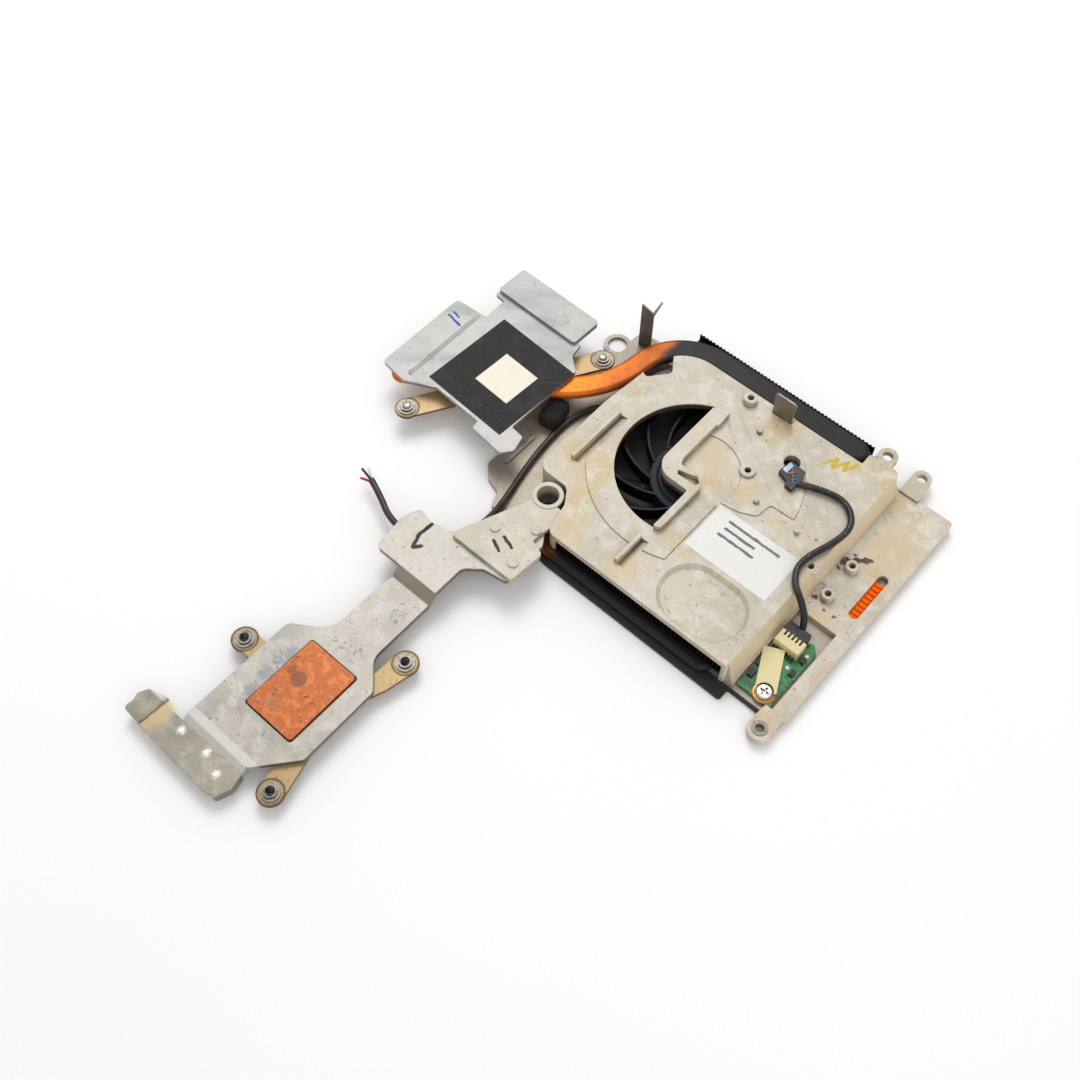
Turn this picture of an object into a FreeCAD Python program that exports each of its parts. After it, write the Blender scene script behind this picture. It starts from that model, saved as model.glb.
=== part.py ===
import FreeCAD, Part
import math
import os

# Laptop cooler: a flat blower housing with two fin stacks, two flattened heat pipes,
# a long plate with a copper slug for the processor and a short plate for the graphics chip.
# Everything is drawn from the fan's axis, at the cover's top face, with Z up.
# The finished shapes then move so that the slug's contact face is the origin.

V = FreeCAD.Vector
UP = V(0, 0, 1)

# Housing
HOUSING_H = 9.9
COVER_T = 2.0
WALL_T = 1.6
FLOOR_T = 1.2
FLOOR = -HOUSING_H
FLOOR_BOTTOM = FLOOR - FLOOR_T

COVER_LEFT = -35.6
COVER_RIGHT = 45.4
COVER_FRONT = -44.3
COVER_REAR = 34.1
CORNER_R = 13.8
REAR_STEP_X = 35.0
REAR_STEP_Y = 38.6
COVER_OUTLINE = [
    (-18.5, COVER_FRONT, 3.0),
    (COVER_RIGHT, COVER_FRONT, 1.0),
    (COVER_RIGHT, REAR_STEP_Y, 2.0),
    (REAR_STEP_X, REAR_STEP_Y, 1.0),
    (REAR_STEP_X, COVER_REAR, 0.5),
    (-34.0, COVER_REAR, CORNER_R),
    (-34.0, 19.0, 8.0),
    (COVER_LEFT, 2.0, 10.0),
    (COVER_LEFT, -29.2, 4.0),
    (-24.0, -29.2, 3.0),
    (-20.5, -34.5, 3.0),
]
CORNER_BITE = [
    (-37.0, 20.0, 0.0),
    (-32.6, 16.8, 1.5),
    (-27.2, 23.4, 1.5),
    (-31.5, 29.5, 0.0),
]
BITE_DEPTH = 6.0

# Fan inlet and the raised edge beside it
INLET_R = 23.7
INLET_EDGE_X = -9.0
INLET_STEP_X = 3.5
INLET_STEP_Y = -8.5
INLET_CORNER_R = 6.0
BAND_H = 2.4
BAND_OUTLINE = [
    (INLET_EDGE_X, 20.0, 0.6),
    (INLET_EDGE_X, INLET_STEP_Y, INLET_CORNER_R),
    (INLET_STEP_X, INLET_STEP_Y, 0.8),
    (INLET_STEP_X, -24.3, 0.4),
    (5.6, -23.3, 1.2),
    (5.7, -5.2, 1.6),
    (3.0, -2.4, 1.0),
    (-3.4, -2.6, 1.0),
    (-4.4, -0.4, 0.8),
    (-4.4, 15.3, 0.2),
    (-3.8, 15.9, 0.2),
    (-4.3, 22.8, 1.0),
]
BAND_POCKET = [(-3.0, -4.6, 0.3), (2.9, -2.9, 0.3), (4.6, -4.3, 0.4), (4.2, -5.6, 0.4), (-2.2, -5.9, 0.3)]
POCKET_DEPTH = 2.0

# Relief on the cover's face
RELIEF_H = 0.35
RELIEF_R = 31.9
RELIEF_INNER_R = 13.4
RELIEF_LOW_SIDE = [
    (12.1, -45.0, 0.0),
    (12.1, -4.3, 1.0),
    (18.0, -3.4, 1.5),
    (23.0, -1.0, 2.0),
    (23.7, 4.6, 1.0),
    (45.0, 5.6, 0.0),
    (45.0, -45.0, 0.0),
]
RIB_W = 1.2
RIB_H = 1.8
RIB_SPANS = [(-30.0, -20.7, 0.9), (1.9, -39.2, -28.4)]
RAMP_W = 3.0
RAMP_DEPTH = 1.2
OVAL_X = (15.0, 42.0)
OVAL_Y = (-43.2, -23.1)
OVAL_R = 9.8
OVAL_DEPTH = 1.4
OVAL_SLOPE = 1.1
COVER_PINS = [(6.0, 23.0), (20.0, 2.6), (34.6, 2.0)]
COVER_PIN_R = 0.7
COVER_PIN_H = 1.5
WIRE_HOLE = (19.6, 20.6)
WIRE_HOLE_R = 2.5

# Bosses: place, foot height, top height, outer radius
BOSS_HOLE_R = 1.0
BOSSES = [
    (-2.8, 30.1, -COVER_T, 2.6, 2.1),
    (11.8, 9.4, -COVER_T, 1.2, 2.3),
    (44.0, -4.0, -6.0, -0.4, 2.4),
    (51.6, -4.8, -8.6, -5.5, 1.9),
    (51.6, 7.1, -8.6, -5.5, 1.9),
]
CORNER_BOSS = (-26.5, -34.7)
CORNER_BOSS_R = 4.6
CORNER_BOSS_TOP = -0.6
COUNTERBORE_R = 3.3
COUNTERBORE_DEPTH = 6.0
SCREW_HOLE_R = 1.6

# Lower shelf on the right
SHELF_TOP = -7.8
SHELF_T = 1.2
SHELF_RIGHT = 65.2
SHELF_FRONT = -43.4
SHELF_REAR = 39.6
WALL_FOOT_X = 47.4
RECESS = (48.0, 60.6, -45.0, -12.8)
RIM_T = 0.9
SLOT = (58.9, 62.0, -5.6, 11.8)
SLOT_R = 1.5

# Screw tabs: hole centre, outer radius, the two root points, top, thickness
TABS = {
    "upper": ((39.2, 41.4), 3.0, (36.4, 36.0), (42.3, 36.0), 0.0, 2.0),
    "lower": ((49.8, 46.3), 3.0, (46.9, 38.6), (53.2, 38.6), -7.0, 2.0),
    "front": ((61.3, -49.2), 3.5, (58.4, -42.6), (64.6, -42.6), SHELF_TOP, 2.1),
}
INSERT_R = 2.2
INSERT_HOLE_R = 1.25

# Ear that carries the long plate
EAR_TOP = -0.8
EAR_T = 1.4
EAR_BOTTOM = EAR_TOP - EAR_T
EAR_OUTLINE = [
    (-38.9, -62.6, 1.0),
    (-15.7, -62.6, 1.0),
    (-14.8, -50.6, 1.2),
    (-19.6, -48.9, 0.3),
    (-19.6, -46.0, 0.3),
    (-18.6, -42.0, 0.5),
    (-17.5, -36.0, 0.0),
    (-29.5, -36.0, 0.5),
    (-29.2, -39.2, 1.0),
]
RIVET_SPOTS = [(-30.6, -52.8), (-18.9, -58.1), (-21.2, -45.8)]
RIVET_R = 1.0
RIVET_HEAD_R = 1.5
RIVET_HEAD_H = 0.5
RIVET_GAP = 0.04

# Casing screws from below: place of each post
POST_SPOTS = [(-32.1, -25.0), (-31.2, 14.6), (41.4, 34.4), (41.4, -34.4)]
POST_R = 2.2
CASE_SCREW_R = 0.95
CASE_SCREW_HEAD_R = 1.9
CASE_SCREW_LENGTH = 6.0
CASE_SCREW_GAP = 0.05

# Base plate
BASE_OUTLINE = [
    (-54.6, -21.0, 4.0),
    (-51.4, -28.5, 2.0),
    (-51.6, -33.4, 2.5),
    (-47.7, -37.6, 2.0),
    (-42.4, -39.3, 1.5),
    (-40.6, -44.0, 1.5),
    (-33.0, -45.5, 3.0),
    (-16.0, -48.3, 4.0),
    (47.6, -48.7, 1.0),
    (47.6, -44.9, 0.8),
    (64.6, -44.9, 1.0),
    (64.6, 39.0, 1.5),
    (36.4, 39.0, 1.0),
    (36.4, 43.2, 1.0),
    (-36.0, 43.2, 2.0),
    (-41.0, 37.5, 3.0),
    (-49.0, 36.4, 2.0),
    (-50.6, 22.0, 3.0),
    (-54.6, 14.0, 3.0),
]
RING_EAR = (-51.7, 27.5)
RING_EAR_R = 4.3
RING_HOLE_R = 3.0
FLANGE_RIB = (-45.0, -30.0, -16.8)
FLANGE_RIB_H = 0.6
LOWER_INLET_R = (14.0, 22.5)
LOWER_INLET_SPAN = 88.0
LOWER_INLET_COUNT = 3

# Heat pipes, flattened from round tube
PIPE_W = 7.7
PIPE_T = 3.0
PIPE_GAP = 0.2
CPU_PIPE_X = -37.0
CPU_PIPE_Y = -42.85
CPU_PIPE_START = -145.0
CPU_PIPE_END = 37.0
CPU_PIPE_BEND = 20.0
CPU_PIPE_TOP = FLOOR + PIPE_T
GPU_PIPE_Y = 38.35
GPU_PIPE_END_GAP = 0.35
GPU_PIPE_START = REAR_STEP_X - GPU_PIPE_END_GAP - PIPE_W / 2.0
GPU_PIPE_CORNERS = [(-35.6, GPU_PIPE_Y, 18.0), (-40.2, 5.3, 32.0)]
GPU_PIPE_END = (-90.2, -29.3)

# Graphics plate
GPU_PLATE_TOP = 0.0
GPU_PLATE_T = 1.2
GPU_PLATE_BOTTOM = GPU_PLATE_TOP - GPU_PLATE_T
GPU_PIPE_BOTTOM = GPU_PLATE_BOTTOM - PIPE_T
GPU_TURN = -3.4
GPU_OUTLINE = [
    (-96.4, -31.8, 1.2),
    (-86.6, -33.0, 1.0),
    (-77.0, -28.3, 1.0),
    (-59.4, -29.2, 0.4),
    (-58.9, -32.0, 1.0),
    (-46.6, -33.4, 1.5),
    (-44.0, -30.0, 1.5),
    (-45.4, -24.6, 1.0),
    (-50.2, -24.0, 0.6),
    (-49.6, 4.4, 1.5),
    (-54.4, 8.2, 1.5),
    (-55.2, 13.0, 0.0),
    (-88.6, 13.8, 0.0),
    (-88.8, 11.0, 0.5),
    (-84.9, 10.6, 0.5),
    (-84.6, 2.0, 0.8),
    (-87.6, 1.8, 1.0),
    (-96.3, 1.2, 1.2),
]
FAR_TAB = [(-56.7, 11.6, 1.0), (-56.3, 23.1, 1.2), (-88.4, 23.8, 1.2), (-88.8, 12.4, 1.0)]
FAR_TAB_RISE = 1.2
CREASE_X = -86.8
CREASE_H = 0.35
PAD_CENTRE = (-65.4, -11.8)
PAD_FRAME = (30.5, 31.8)
PAD_FRAME_T = 0.3
THERMAL_PAD = 13.4
THERMAL_PAD_SHIFT = 2.0
THERMAL_PAD_T = 0.5
PAD_GAP = 0.1

# Long plate
PLATE_T = 1.7
CPU_PLATE_BOTTOM = CPU_PIPE_TOP
CPU_PLATE_TOP = CPU_PLATE_BOTTOM + PLATE_T
STEP_Y = -79.0
STEP_RUN = 3.0
STEP_LEFT = -43.2
STEP_RIGHT = -29.1
PLATE_END = -147.6
CPU_OUTLINE = [
    (STEP_LEFT, STEP_Y - STEP_RUN, 0.0),
    (-43.7, -88.0, 5.0),
    (-43.7, -104.8, 8.0),
    (-54.4, -111.5, 3.0),
    (-54.4, PLATE_END, 0.5),
    (-31.3, PLATE_END, 1.0),
    (-21.7, -136.2, 3.0),
    (-22.0, -110.6, 2.0),
    (STEP_RIGHT, -103.5, 6.0),
    (STEP_RIGHT, STEP_Y - STEP_RUN, 0.0),
]
RAISED_OUTLINE = [
    (-52.2, STEP_Y, 2.0),
    (STEP_RIGHT, STEP_Y, 0.0),
    (STEP_RIGHT, -68.2, 3.0),
    (-24.4, -64.4, 2.0),
    (-16.9, -63.2, 1.0),
    (-17.0, -47.8, 1.5),
    (-20.0, -43.4, 1.0),
    (-23.0, -43.6, 1.0),
    (-33.6, -52.0, 2.0),
    (-39.0, -61.6, 1.0),
    (-46.4, -63.0, 1.5),
    (-51.4, -61.8, 1.5),
    (-53.6, -67.0, 3.0),
]

# Slug and the processor's fastening
SLUG = (17.2, 24.2)
SLUG_X = -36.7
SLUG_Y = -123.0
SLUG_PROUD = 0.6
SLUG_GAP = 0.4
SLUG_R = 1.0
SLUG_TOP = CPU_PLATE_TOP + SLUG_PROUD
CPU_SCREWS = {"a": (-60.4, -122.4), "b": (-22.2, -98.3), "c": (-22.3, -147.7)}
CPU_SPRING_T = 0.8
CPU_SPRING_TOP = CPU_PLATE_BOTTOM
CPU_ARM_END_R = 3.9
CPU_LEAF = [
    (-25.9, -98.3, 0.0),
    (-26.4, -107.6, 6.0),
    (-30.6, -116.0, 4.0),
    (-30.6, -129.0, 4.0),
    (-27.2, -139.6, 6.0),
    (-26.1, -147.7, 0.0),
    (-18.5, -147.7, 0.0),
    (-20.6, -139.0, 6.0),
    (-23.6, -129.0, 5.0),
    (-23.6, -116.0, 5.0),
    (-20.4, -107.6, 6.0),
    (-18.4, -98.3, 0.0),
]
CROSSBAR_W = 6.4
CROSSBAR_DROP_X = (-46.2, -42.0, -32.0, -28.0)

# Captive screws and collars
SCREW_SHANK_R = 1.25
SCREW_HEAD_R = 2.3
SCREW_HEAD_H = 1.8
SCREW_CLEARANCE = 0.05
SCREW_REACH = 1.1
SCREW_BEVEL = 0.4
COLLAR_R = 2.8
COLLAR_H = 0.5
KEEPER_R = 1.9
KEEPER_T = 0.5
END_PLAY = 0.1

# Graphics chip's spring strip
GPU_SCREWS = {"a": (-81.0, -37.6), "b": (-48.5, 16.1)}
GPU_SPRING_T = 0.8
GPU_SPRING_W = 7.0
GPU_ARM_END_R = 3.7

# End flange beyond the long plate
END_FLANGE_T = 0.8
END_FLANGE_TOP = -6.4
END_SLOPE_RUN = 2.0
END_OUTLINE = [
    (-54.4, PLATE_END - END_SLOPE_RUN, 0.0),
    (-62.5, PLATE_END - 0.4, 1.0),
    (-68.2, -149.6, 1.2),
    (-69.6, -152.6, 0.6),
    (-68.8, -154.4, 0.6),
    (-69.2, -157.6, 1.2),
    (-53.0, -158.6, 8.0),
    (-33.4, -159.0, 2.6),
    (-30.6, -154.0, 2.5),
    (-31.3, PLATE_END - END_SLOPE_RUN, 0.0),
]
END_GROOVE_X = -62.7
END_GROOVE_W = 1.4
END_GROOVE_DEPTH = 0.4
END_LIP_H = 2.4
END_X = (-54.4, -31.3)
END_LIP = [
    (-33.0, -158.8, 0.3),
    (-31.9, -158.2, 1.0),
    (-30.3, -153.9, 2.0),
    (-31.2, PLATE_END - END_SLOPE_RUN, 0.3),
    (-31.9, PLATE_END - END_SLOPE_RUN, 0.2),
    (-31.4, -153.9, 1.5),
]
END_BUMPS = [(-52.4, -151.8), (-42.7, -151.6), (-36.3, -153.9)]
END_BUMP_R = 1.1
END_BUMP_H = 0.45

# Fin stacks
FIN_T = 0.25
FIN_PITCH = 1.3
FIN_SHEET = 0.3
REAR_FINS = (-31.0, 34.2, 34.5, 42.4)
REAR_FIN_TEETH = (42.4, 42.6, 42.9)
TOOTH_DROP = 0.8
TOOTH_SIDE = 0.15
TOOTH_SHARE = 0.45
SIDE_FINS = (-15.2, COVER_RIGHT - WALL_T - 0.1, -44.0, -38.4)

# Impeller, motor
HUB_R = 13.0
HUB_TOP = -3.4
HUB_WALL = 0.9
HUB_STEP_W = 1.9
HUB_STEP_H = 0.8
HUB_UNDER = HUB_TOP - HUB_STEP_H - HUB_WALL
HUB_ROUND = 1.2
HUB_FOOT = -8.9
BLADE_COUNT = 13
BLADE_R = (12.6, 20.5, 29.0)
BLADE_TURN = (0.0, -24.0, -45.0)
BLADE_T = 0.7
BLADE_TOP = -3.8
BLADE_FOOT = -8.9
SHAFT_R = 1.0
SHAFT_GAP = 0.04
SHAFT_FOOT_GAP = 0.15
SHAFT_BOSS_R = 2.3
SHAFT_BOSS_H = 1.2
BEARING_R = 3.0
BEARING_TOP = -6.6
MAGNET_T = 1.1
MAGNET_H = 3.4
ROTOR_GAP = 0.4
STATOR_Z = (-8.0, -6.4)
STATOR_POLES = 4
POLE_W = 2.2
POLE_SHOE_T = 1.0
COIL_T = 0.8
MOTOR_BOARD_T = 0.6
MOTOR_BOARD_R = 9.4
BOARD_TAIL_W = 5.0
BOARD_TAIL_END = -29.8
BOARD_TAIL_Y = 7.0

# Leads
LEAD_R = 1.0
LEAD_GAP = 0.15
FAN_LEAD = [
    (BOARD_TAIL_END, BOARD_TAIL_Y, FLOOR + LEAD_R),
    (-39.0, BOARD_TAIL_Y, FLOOR + LEAD_R),
    (-43.4, -4.4, FLOOR + LEAD_R),
    (-43.2, -15.0, FLOOR + LEAD_R),
    (-41.6, -27.0, FLOOR + LEAD_R),
    (-38.6, -40.0, FLOOR + LEAD_R + 0.2),
    (-39.0, -50.0, FLOOR + LEAD_R + 0.6),
    (-43.4, -61.0, -7.4),
    (-49.4, -69.0, -6.4),
    (-58.0, -68.6, -6.0),
    (-65.6, -64.7, -6.0),
    (-71.3, -62.6, -6.0),
]
WIRE_R = 0.4
WIRE_SPREAD = 0.55
WIRE_ENDS = [(-75.4, -62.2, -4.6), (-74.4, -63.8, -6.9), (-75.2, -60.2, -6.6)]
BOARD_LEAD = [
    (25.7, 15.0, 1.4),
    (30.4, 17.4, 1.4),
    (39.4, 19.4, 1.4),
    (45.4, 14.2, 1.4),
    (45.3, 7.0, 1.4),
    (41.0, -5.4, 1.4),
    (43.4, -11.9, 1.4),
    (48.6, -15.2, 0.7),
    (52.2, -16.8, -4.1),
    (52.7, -18.5, -7.1),
]

# Socket, board and their small parts
BOARD_T = 1.0
BOARD_TOP = FLOOR + BOARD_T
BOARD_OUTLINE = [
    (48.5, -42.3, 0.4),
    (59.6, -42.3, 0.4),
    (59.8, -21.0, 1.0),
    (57.6, -18.6, 1.0),
    (48.5, -24.4, 0.5),
]
SOCKET = (48.7, 56.6, -26.2, -22.0)
SOCKET_H = 3.6
PLUG = (48.9, 55.9, -21.9, -18.4)
PLUG_H = 3.0
BOARD_SCREW = (55.8, -39.6)
BOARD_SCREW_HEAD_R = 2.35
BOARD_SCREW_HEAD_H = 1.0
BOARD_SCREW_R = 1.2
BOARD_HOLE_R = 1.4
CROSS = (2.6, 0.55, 0.6)
BOARD_CHIPS = [
    (48.9, -38.4, 1.6, 2.6, 0.9),
    (57.4, -31.0, 1.4, 2.0, 0.8),
    (57.4, -26.0, 1.4, 2.0, 0.8),
    (48.7, -34.2, 1.0, 2.2, 0.7),
]
TAG_CENTRE = (53.1, -33.6)
TAG_SIZE = (6.0, 13.6)
TAG_TURN = 26.0
TAG_T = 0.3
TAG_LIFT = 1.1
TAG_FOOT = (0.6, 0.5)
TAG_SCREW_GAP = 0.15
CONNECTOR_OUTLINE = [
    (18.9, 14.6, 0.3),
    (22.5, 13.4, 0.2),
    (22.9, 12.0, 0.3),
    (25.5, 11.6, 0.3),
    (25.9, 15.5, 0.3),
    (25.2, 19.3, 0.4),
    (22.2, 19.4, 0.2),
    (19.6, 19.7, 0.3),
]
CONNECTOR_H = 1.9
CONNECTOR_GROOVE = 0.5
LATCH_OUTLINE = [(19.5, 15.6, 0.2), (21.1, 15.1, 0.2), (21.3, 18.5, 0.3), (19.9, 18.9, 0.3)]
LATCH_H = 0.3

# Sheet pieces, foam, label and pad
LABEL = (13.0, 41.0, -21.7, -4.8)
LABEL_T = 0.12
SHEET_T = 0.5
FINGER_X = (-46.9, -42.3)
FINGER_Y = 32.0
FINGER_TOP = 8.4
FINGER_FOOT = 4.0
FINGER_LEAF = 4.4
REAR_TAB_X = (4.3, 11.2)
REAR_TAB_Y = 31.6
REAR_TAB_H = 9.4
TAB_SEAT_GAP = 0.2
FOAM = [
    (-50.6, -9.6, 1.5),
    (-46.6, -13.4, 1.5),
    (-44.6, -13.0, 1.0),
    (-45.0, -2.4, 1.5),
    (-48.6, -3.0, 1.5),
]
FOAM_TOP = -4.2
SLOT_PAD_MARGIN = 1.0
SLOT_PAD_END_GAP = 2.4
SLOT_PAD_T = 0.8
SLOT_PAD_RIBS = 9
SLOT_PAD_RIB_H = 0.5
RIB_INSET = 0.4


def outline(corners, z):
    """Closed wire through corners (x, y, fillet radius) at height z."""
    count = len(corners)
    firsts = []
    lasts = []
    middles = []
    for i in range(count):
        here = V(corners[i][0], corners[i][1], z)
        before = V(corners[i - 1][0], corners[i - 1][1], z)
        after = V(corners[(i + 1) % count][0], corners[(i + 1) % count][1], z)
        radius = corners[i][2]
        if radius <= 0.0:
            firsts.append(here)
            lasts.append(here)
            middles.append(None)
            continue
        back = (before - here).normalize()
        ahead = (after - here).normalize()
        half = back.getAngle(ahead) / 2.0
        reach = radius / math.tan(half)
        bisector = (back + ahead).normalize()
        centre = here + bisector * (radius / math.sin(half))
        firsts.append(here + back * reach)
        lasts.append(here + ahead * reach)
        middles.append(centre - bisector * radius)
    edges = []
    for i in range(count):
        if middles[i] is not None:
            edges.append(Part.Arc(firsts[i], middles[i], lasts[i]).toShape())
        following = firsts[(i + 1) % count]
        if lasts[i].distanceToPoint(following) > 1e-4:
            edges.append(Part.makeLine(lasts[i], following))
    return Part.Wire(edges)


def plate(corners, low, high):
    """Upright prism on a rounded outline."""
    return Part.Face(outline(corners, low)).extrude(V(0, 0, high - low))


def box(x0, x1, y0, y1, z0, z1):
    """Block between two corners."""
    return Part.makeBox(x1 - x0, y1 - y0, z1 - z0, V(x0, y0, z0))


def disc(x, y, radius, low, high):
    """Upright cylinder."""
    return Part.makeCylinder(radius, high - low, V(x, y, low))


def ring(x, y, outer, inner, low, high):
    """Upright tube."""
    return disc(x, y, outer, low, high).cut(disc(x, y, inner, low, high))


def slab_between(start, end, width, low, high):
    """Straight strip from one plan point to another."""
    along = V(end[0] - start[0], end[1] - start[1], 0)
    strip = Part.makeBox(along.Length, width, high - low, V(0, -width / 2.0, 0))
    strip.rotate(V(0, 0, 0), UP, math.degrees(math.atan2(along.y, along.x)))
    strip.translate(V(start[0], start[1], low))
    return strip


def bar_section(points, x0, x1):
    """Prism along X from a section given as (y, z) points."""
    wire = Part.makePolygon([V(x0, y, z) for y, z in points] + [V(x0, points[0][0], points[0][1])])
    return Part.Face(wire).extrude(V(x1 - x0, 0, 0))


def side_section(points, y0, y1):
    """Prism along Y from a section given as (x, z) points."""
    wire = Part.makePolygon([V(x, y0, z) for x, z in points] + [V(points[0][0], y0, points[0][1])])
    return Part.Face(wire).extrude(V(0, y1 - y0, 0))


def joined(shapes):
    """Fuse and merge coplanar faces."""
    return shapes[0].multiFuse(shapes[1:]).removeSplitter()


def bend_path(points, radii):
    """Straight runs joined by tangent arcs."""
    edges = []
    start = points[0]
    for before, here, after, radius in zip(points, points[1:], points[2:], radii):
        back = (before - here).normalize()
        ahead = (after - here).normalize()
        half = back.getAngle(ahead) / 2.0
        reach = radius / math.tan(half)
        bisector = (back + ahead).normalize()
        centre = here + bisector * (radius / math.sin(half))
        first = here + back * reach
        last = here + ahead * reach
        edges.append(Part.makeLine(start, first))
        edges.append(Part.Arc(first, centre - bisector * radius, last).toShape())
        start = last
    edges.append(Part.makeLine(start, points[-1]))
    return Part.Wire(edges)


def cord(name, route, radius):
    """Round lead along a route, with each bend as wide as its runs allow."""
    points = [V(*p) for p in route]
    radii = []
    for before, here, after in zip(points, points[1:], points[2:]):
        turn = (here - before).getAngle(after - here)
        shorter = min(before.distanceToPoint(here), here.distanceToPoint(after))
        radii.append(0.45 * shorter / math.tan(turn / 2.0))
    path = bend_path(points, radii)
    section = Part.Wire([Part.makeCircle(radius, points[0], points[1] - points[0])])
    tube = path.makePipeShell([section], True, False)
    expected = math.pi * radius * radius * path.Length
    print(name, "radii", [round(r, 1) for r in radii], "volume ratio", round(tube.Volume / expected, 4))
    return tube


def flat_tube(path, start, heading):
    """Flattened tube: a stadium section swept along a level path."""
    across = V(-heading.y, heading.x, 0).normalize()
    flat = PIPE_W / 2.0 - PIPE_T / 2.0
    half = PIPE_T / 2.0
    right = start + across * flat
    left = start - across * flat
    edges = [
        Part.makeLine(left + UP * half, right + UP * half),
        Part.Arc(right + UP * half, right + across * half, right - UP * half).toShape(),
        Part.makeLine(right - UP * half, left - UP * half),
        Part.Arc(left - UP * half, left - across * half, left + UP * half).toShape(),
    ]
    return path.makePipeShell([Part.Wire(edges)], True, False)


def flat_tip(centre, heading):
    """Rounded closed end of a flattened tube."""
    across = V(heading.y, -heading.x, 0).normalize()
    flat = PIPE_W / 2.0 - PIPE_T / 2.0
    half = PIPE_T / 2.0
    rim = centre + across * flat
    edges = [
        Part.makeLine(centre - UP * half, rim - UP * half),
        Part.Arc(rim - UP * half, rim + across * half, rim + UP * half).toShape(),
        Part.makeLine(rim + UP * half, centre + UP * half),
        Part.makeLine(centre + UP * half, centre - UP * half),
    ]
    return Part.Face(Part.Wire(edges)).revolve(centre, UP, 180.0)


def tab(name):
    """Screw tab: an eye on a neck."""
    (x, y), radius, left, right, top, thickness = TABS[name]
    low = top - thickness
    side = 1.0 if left[1] < y else -1.0
    neck = [
        (left[0], left[1], 0.0),
        (right[0], right[1], 0.0),
        (x + radius * 0.98, y - side * radius * 0.2, 0.0),
        (x - radius * 0.98, y - side * radius * 0.2, 0.0),
    ]
    return plate(neck, low, top).fuse(disc(x, y, radius, low, top))


def tab_hole(name, radius):
    """Through hole of a screw tab."""
    (x, y), _, _, _, top, thickness = TABS[name]
    return disc(x, y, radius, top - thickness - 1.0, top + 1.0)


def inlet_opening():
    """Fan inlet: a circle with its right part covered."""
    reach = INLET_R + 5.0
    covered = [
        (INLET_EDGE_X, reach, 0.0),
        (INLET_EDGE_X, INLET_STEP_Y, INLET_CORNER_R),
        (INLET_STEP_X, INLET_STEP_Y, 0.8),
        (INLET_STEP_X, -reach, 0.0),
        (reach, -reach, 0.0),
        (reach, reach, 0.0),
    ]
    whole = disc(0, 0, INLET_R, -COVER_T - 1.0, 2.0)
    return whole.cut(plate(covered, -COVER_T - 1.0, 2.0))


def cover_relief():
    """Raised disc, ribs, pins and the raised edge beside the inlet."""
    raised = disc(0, 0, RELIEF_R, -0.5, RELIEF_H)
    raised = raised.cut(plate(RELIEF_LOW_SIDE, -1.0, 1.0))
    raised = raised.cut(disc(0, 0, RELIEF_INNER_R, 0.0, 1.0))
    band = plate(BAND_OUTLINE, -0.5, BAND_H).cut(plate(BAND_POCKET, BAND_H - POCKET_DEPTH, BAND_H + 1.0))
    seat = box(REAR_TAB_X[0] - TAB_SEAT_GAP, REAR_TAB_X[1] + TAB_SEAT_GAP, REAR_TAB_Y - TAB_SEAT_GAP,
               COVER_REAR + 1.0, 0.0, 1.0)
    raised = raised.cut(seat)
    shapes = [raised.common(box(-34.0, RELIEF_R, -RELIEF_R, RELIEF_R, -1.0, 1.0)), band]
    for x, y0, y1 in RIB_SPANS:
        shapes.append(box(x, x + RIB_W, y0, y1, -0.5, RIB_H))
    for x, y in COVER_PINS:
        shapes.append(disc(x, y, COVER_PIN_R, -0.5, COVER_PIN_H))
    return shapes


def cover_ramps():
    """Wedge pockets beside the ribs."""
    ramps = []
    for x, y0, y1 in RIB_SPANS:
        foot = x + RIB_W
        end = foot + RAMP_W
        wedge = [(foot, 1.0), (foot, -RAMP_DEPTH), (end, 0.5), (end, 1.0)]
        ramps.append(side_section(wedge, y0, y1))
    return ramps


def oval_recess():
    """Shallow recess with sloping walls."""
    def rounded(inset, z):
        x0, x1 = OVAL_X[0] + inset, OVAL_X[1] - inset
        y0, y1 = OVAL_Y[0] + inset, OVAL_Y[1] - inset
        r = OVAL_R - inset
        return outline([(x0, y0, r), (x1, y0, r), (x1, y1, r), (x0, y1, r)], z)
    return Part.makeLoft([rounded(0.0, 0.0), rounded(OVAL_SLOPE, -OVAL_DEPTH)], True, True)


def shelf():
    """Lower shelf with its rims, board recess and slot."""
    x0 = COVER_RIGHT - WALL_T
    body = plate([(x0, SHELF_FRONT, 0.0), (SHELF_RIGHT, SHELF_FRONT, 1.0),
                  (SHELF_RIGHT, SHELF_REAR, 1.5), (x0, SHELF_REAR, 0.0)], FLOOR, SHELF_TOP)
    body = body.cut(box(WALL_FOOT_X + SHELF_T, SHELF_RIGHT - SHELF_T, SHELF_FRONT + SHELF_T,
                        SHELF_REAR - SHELF_T, FLOOR - 1.0, SHELF_TOP - SHELF_T))
    rx0, rx1, ry0, ry1 = RECESS
    rim = box(rx0 - RIM_T, rx1 + RIM_T, SHELF_FRONT, ry1 + RIM_T, FLOOR, SHELF_TOP)
    body = body.fuse(rim).cut(box(rx0, rx1, ry0, ry1, FLOOR - 1.0, SHELF_TOP + 1.0))
    sx0, sx1, sy0, sy1 = SLOT
    slot = plate([(sx0, sy0, SLOT_R), (sx1, sy0, SLOT_R), (sx1, sy1, SLOT_R), (sx0, sy1, SLOT_R)],
                 FLOOR - 1.0, SHELF_TOP + 1.0)
    return body.cut(slot)


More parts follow.
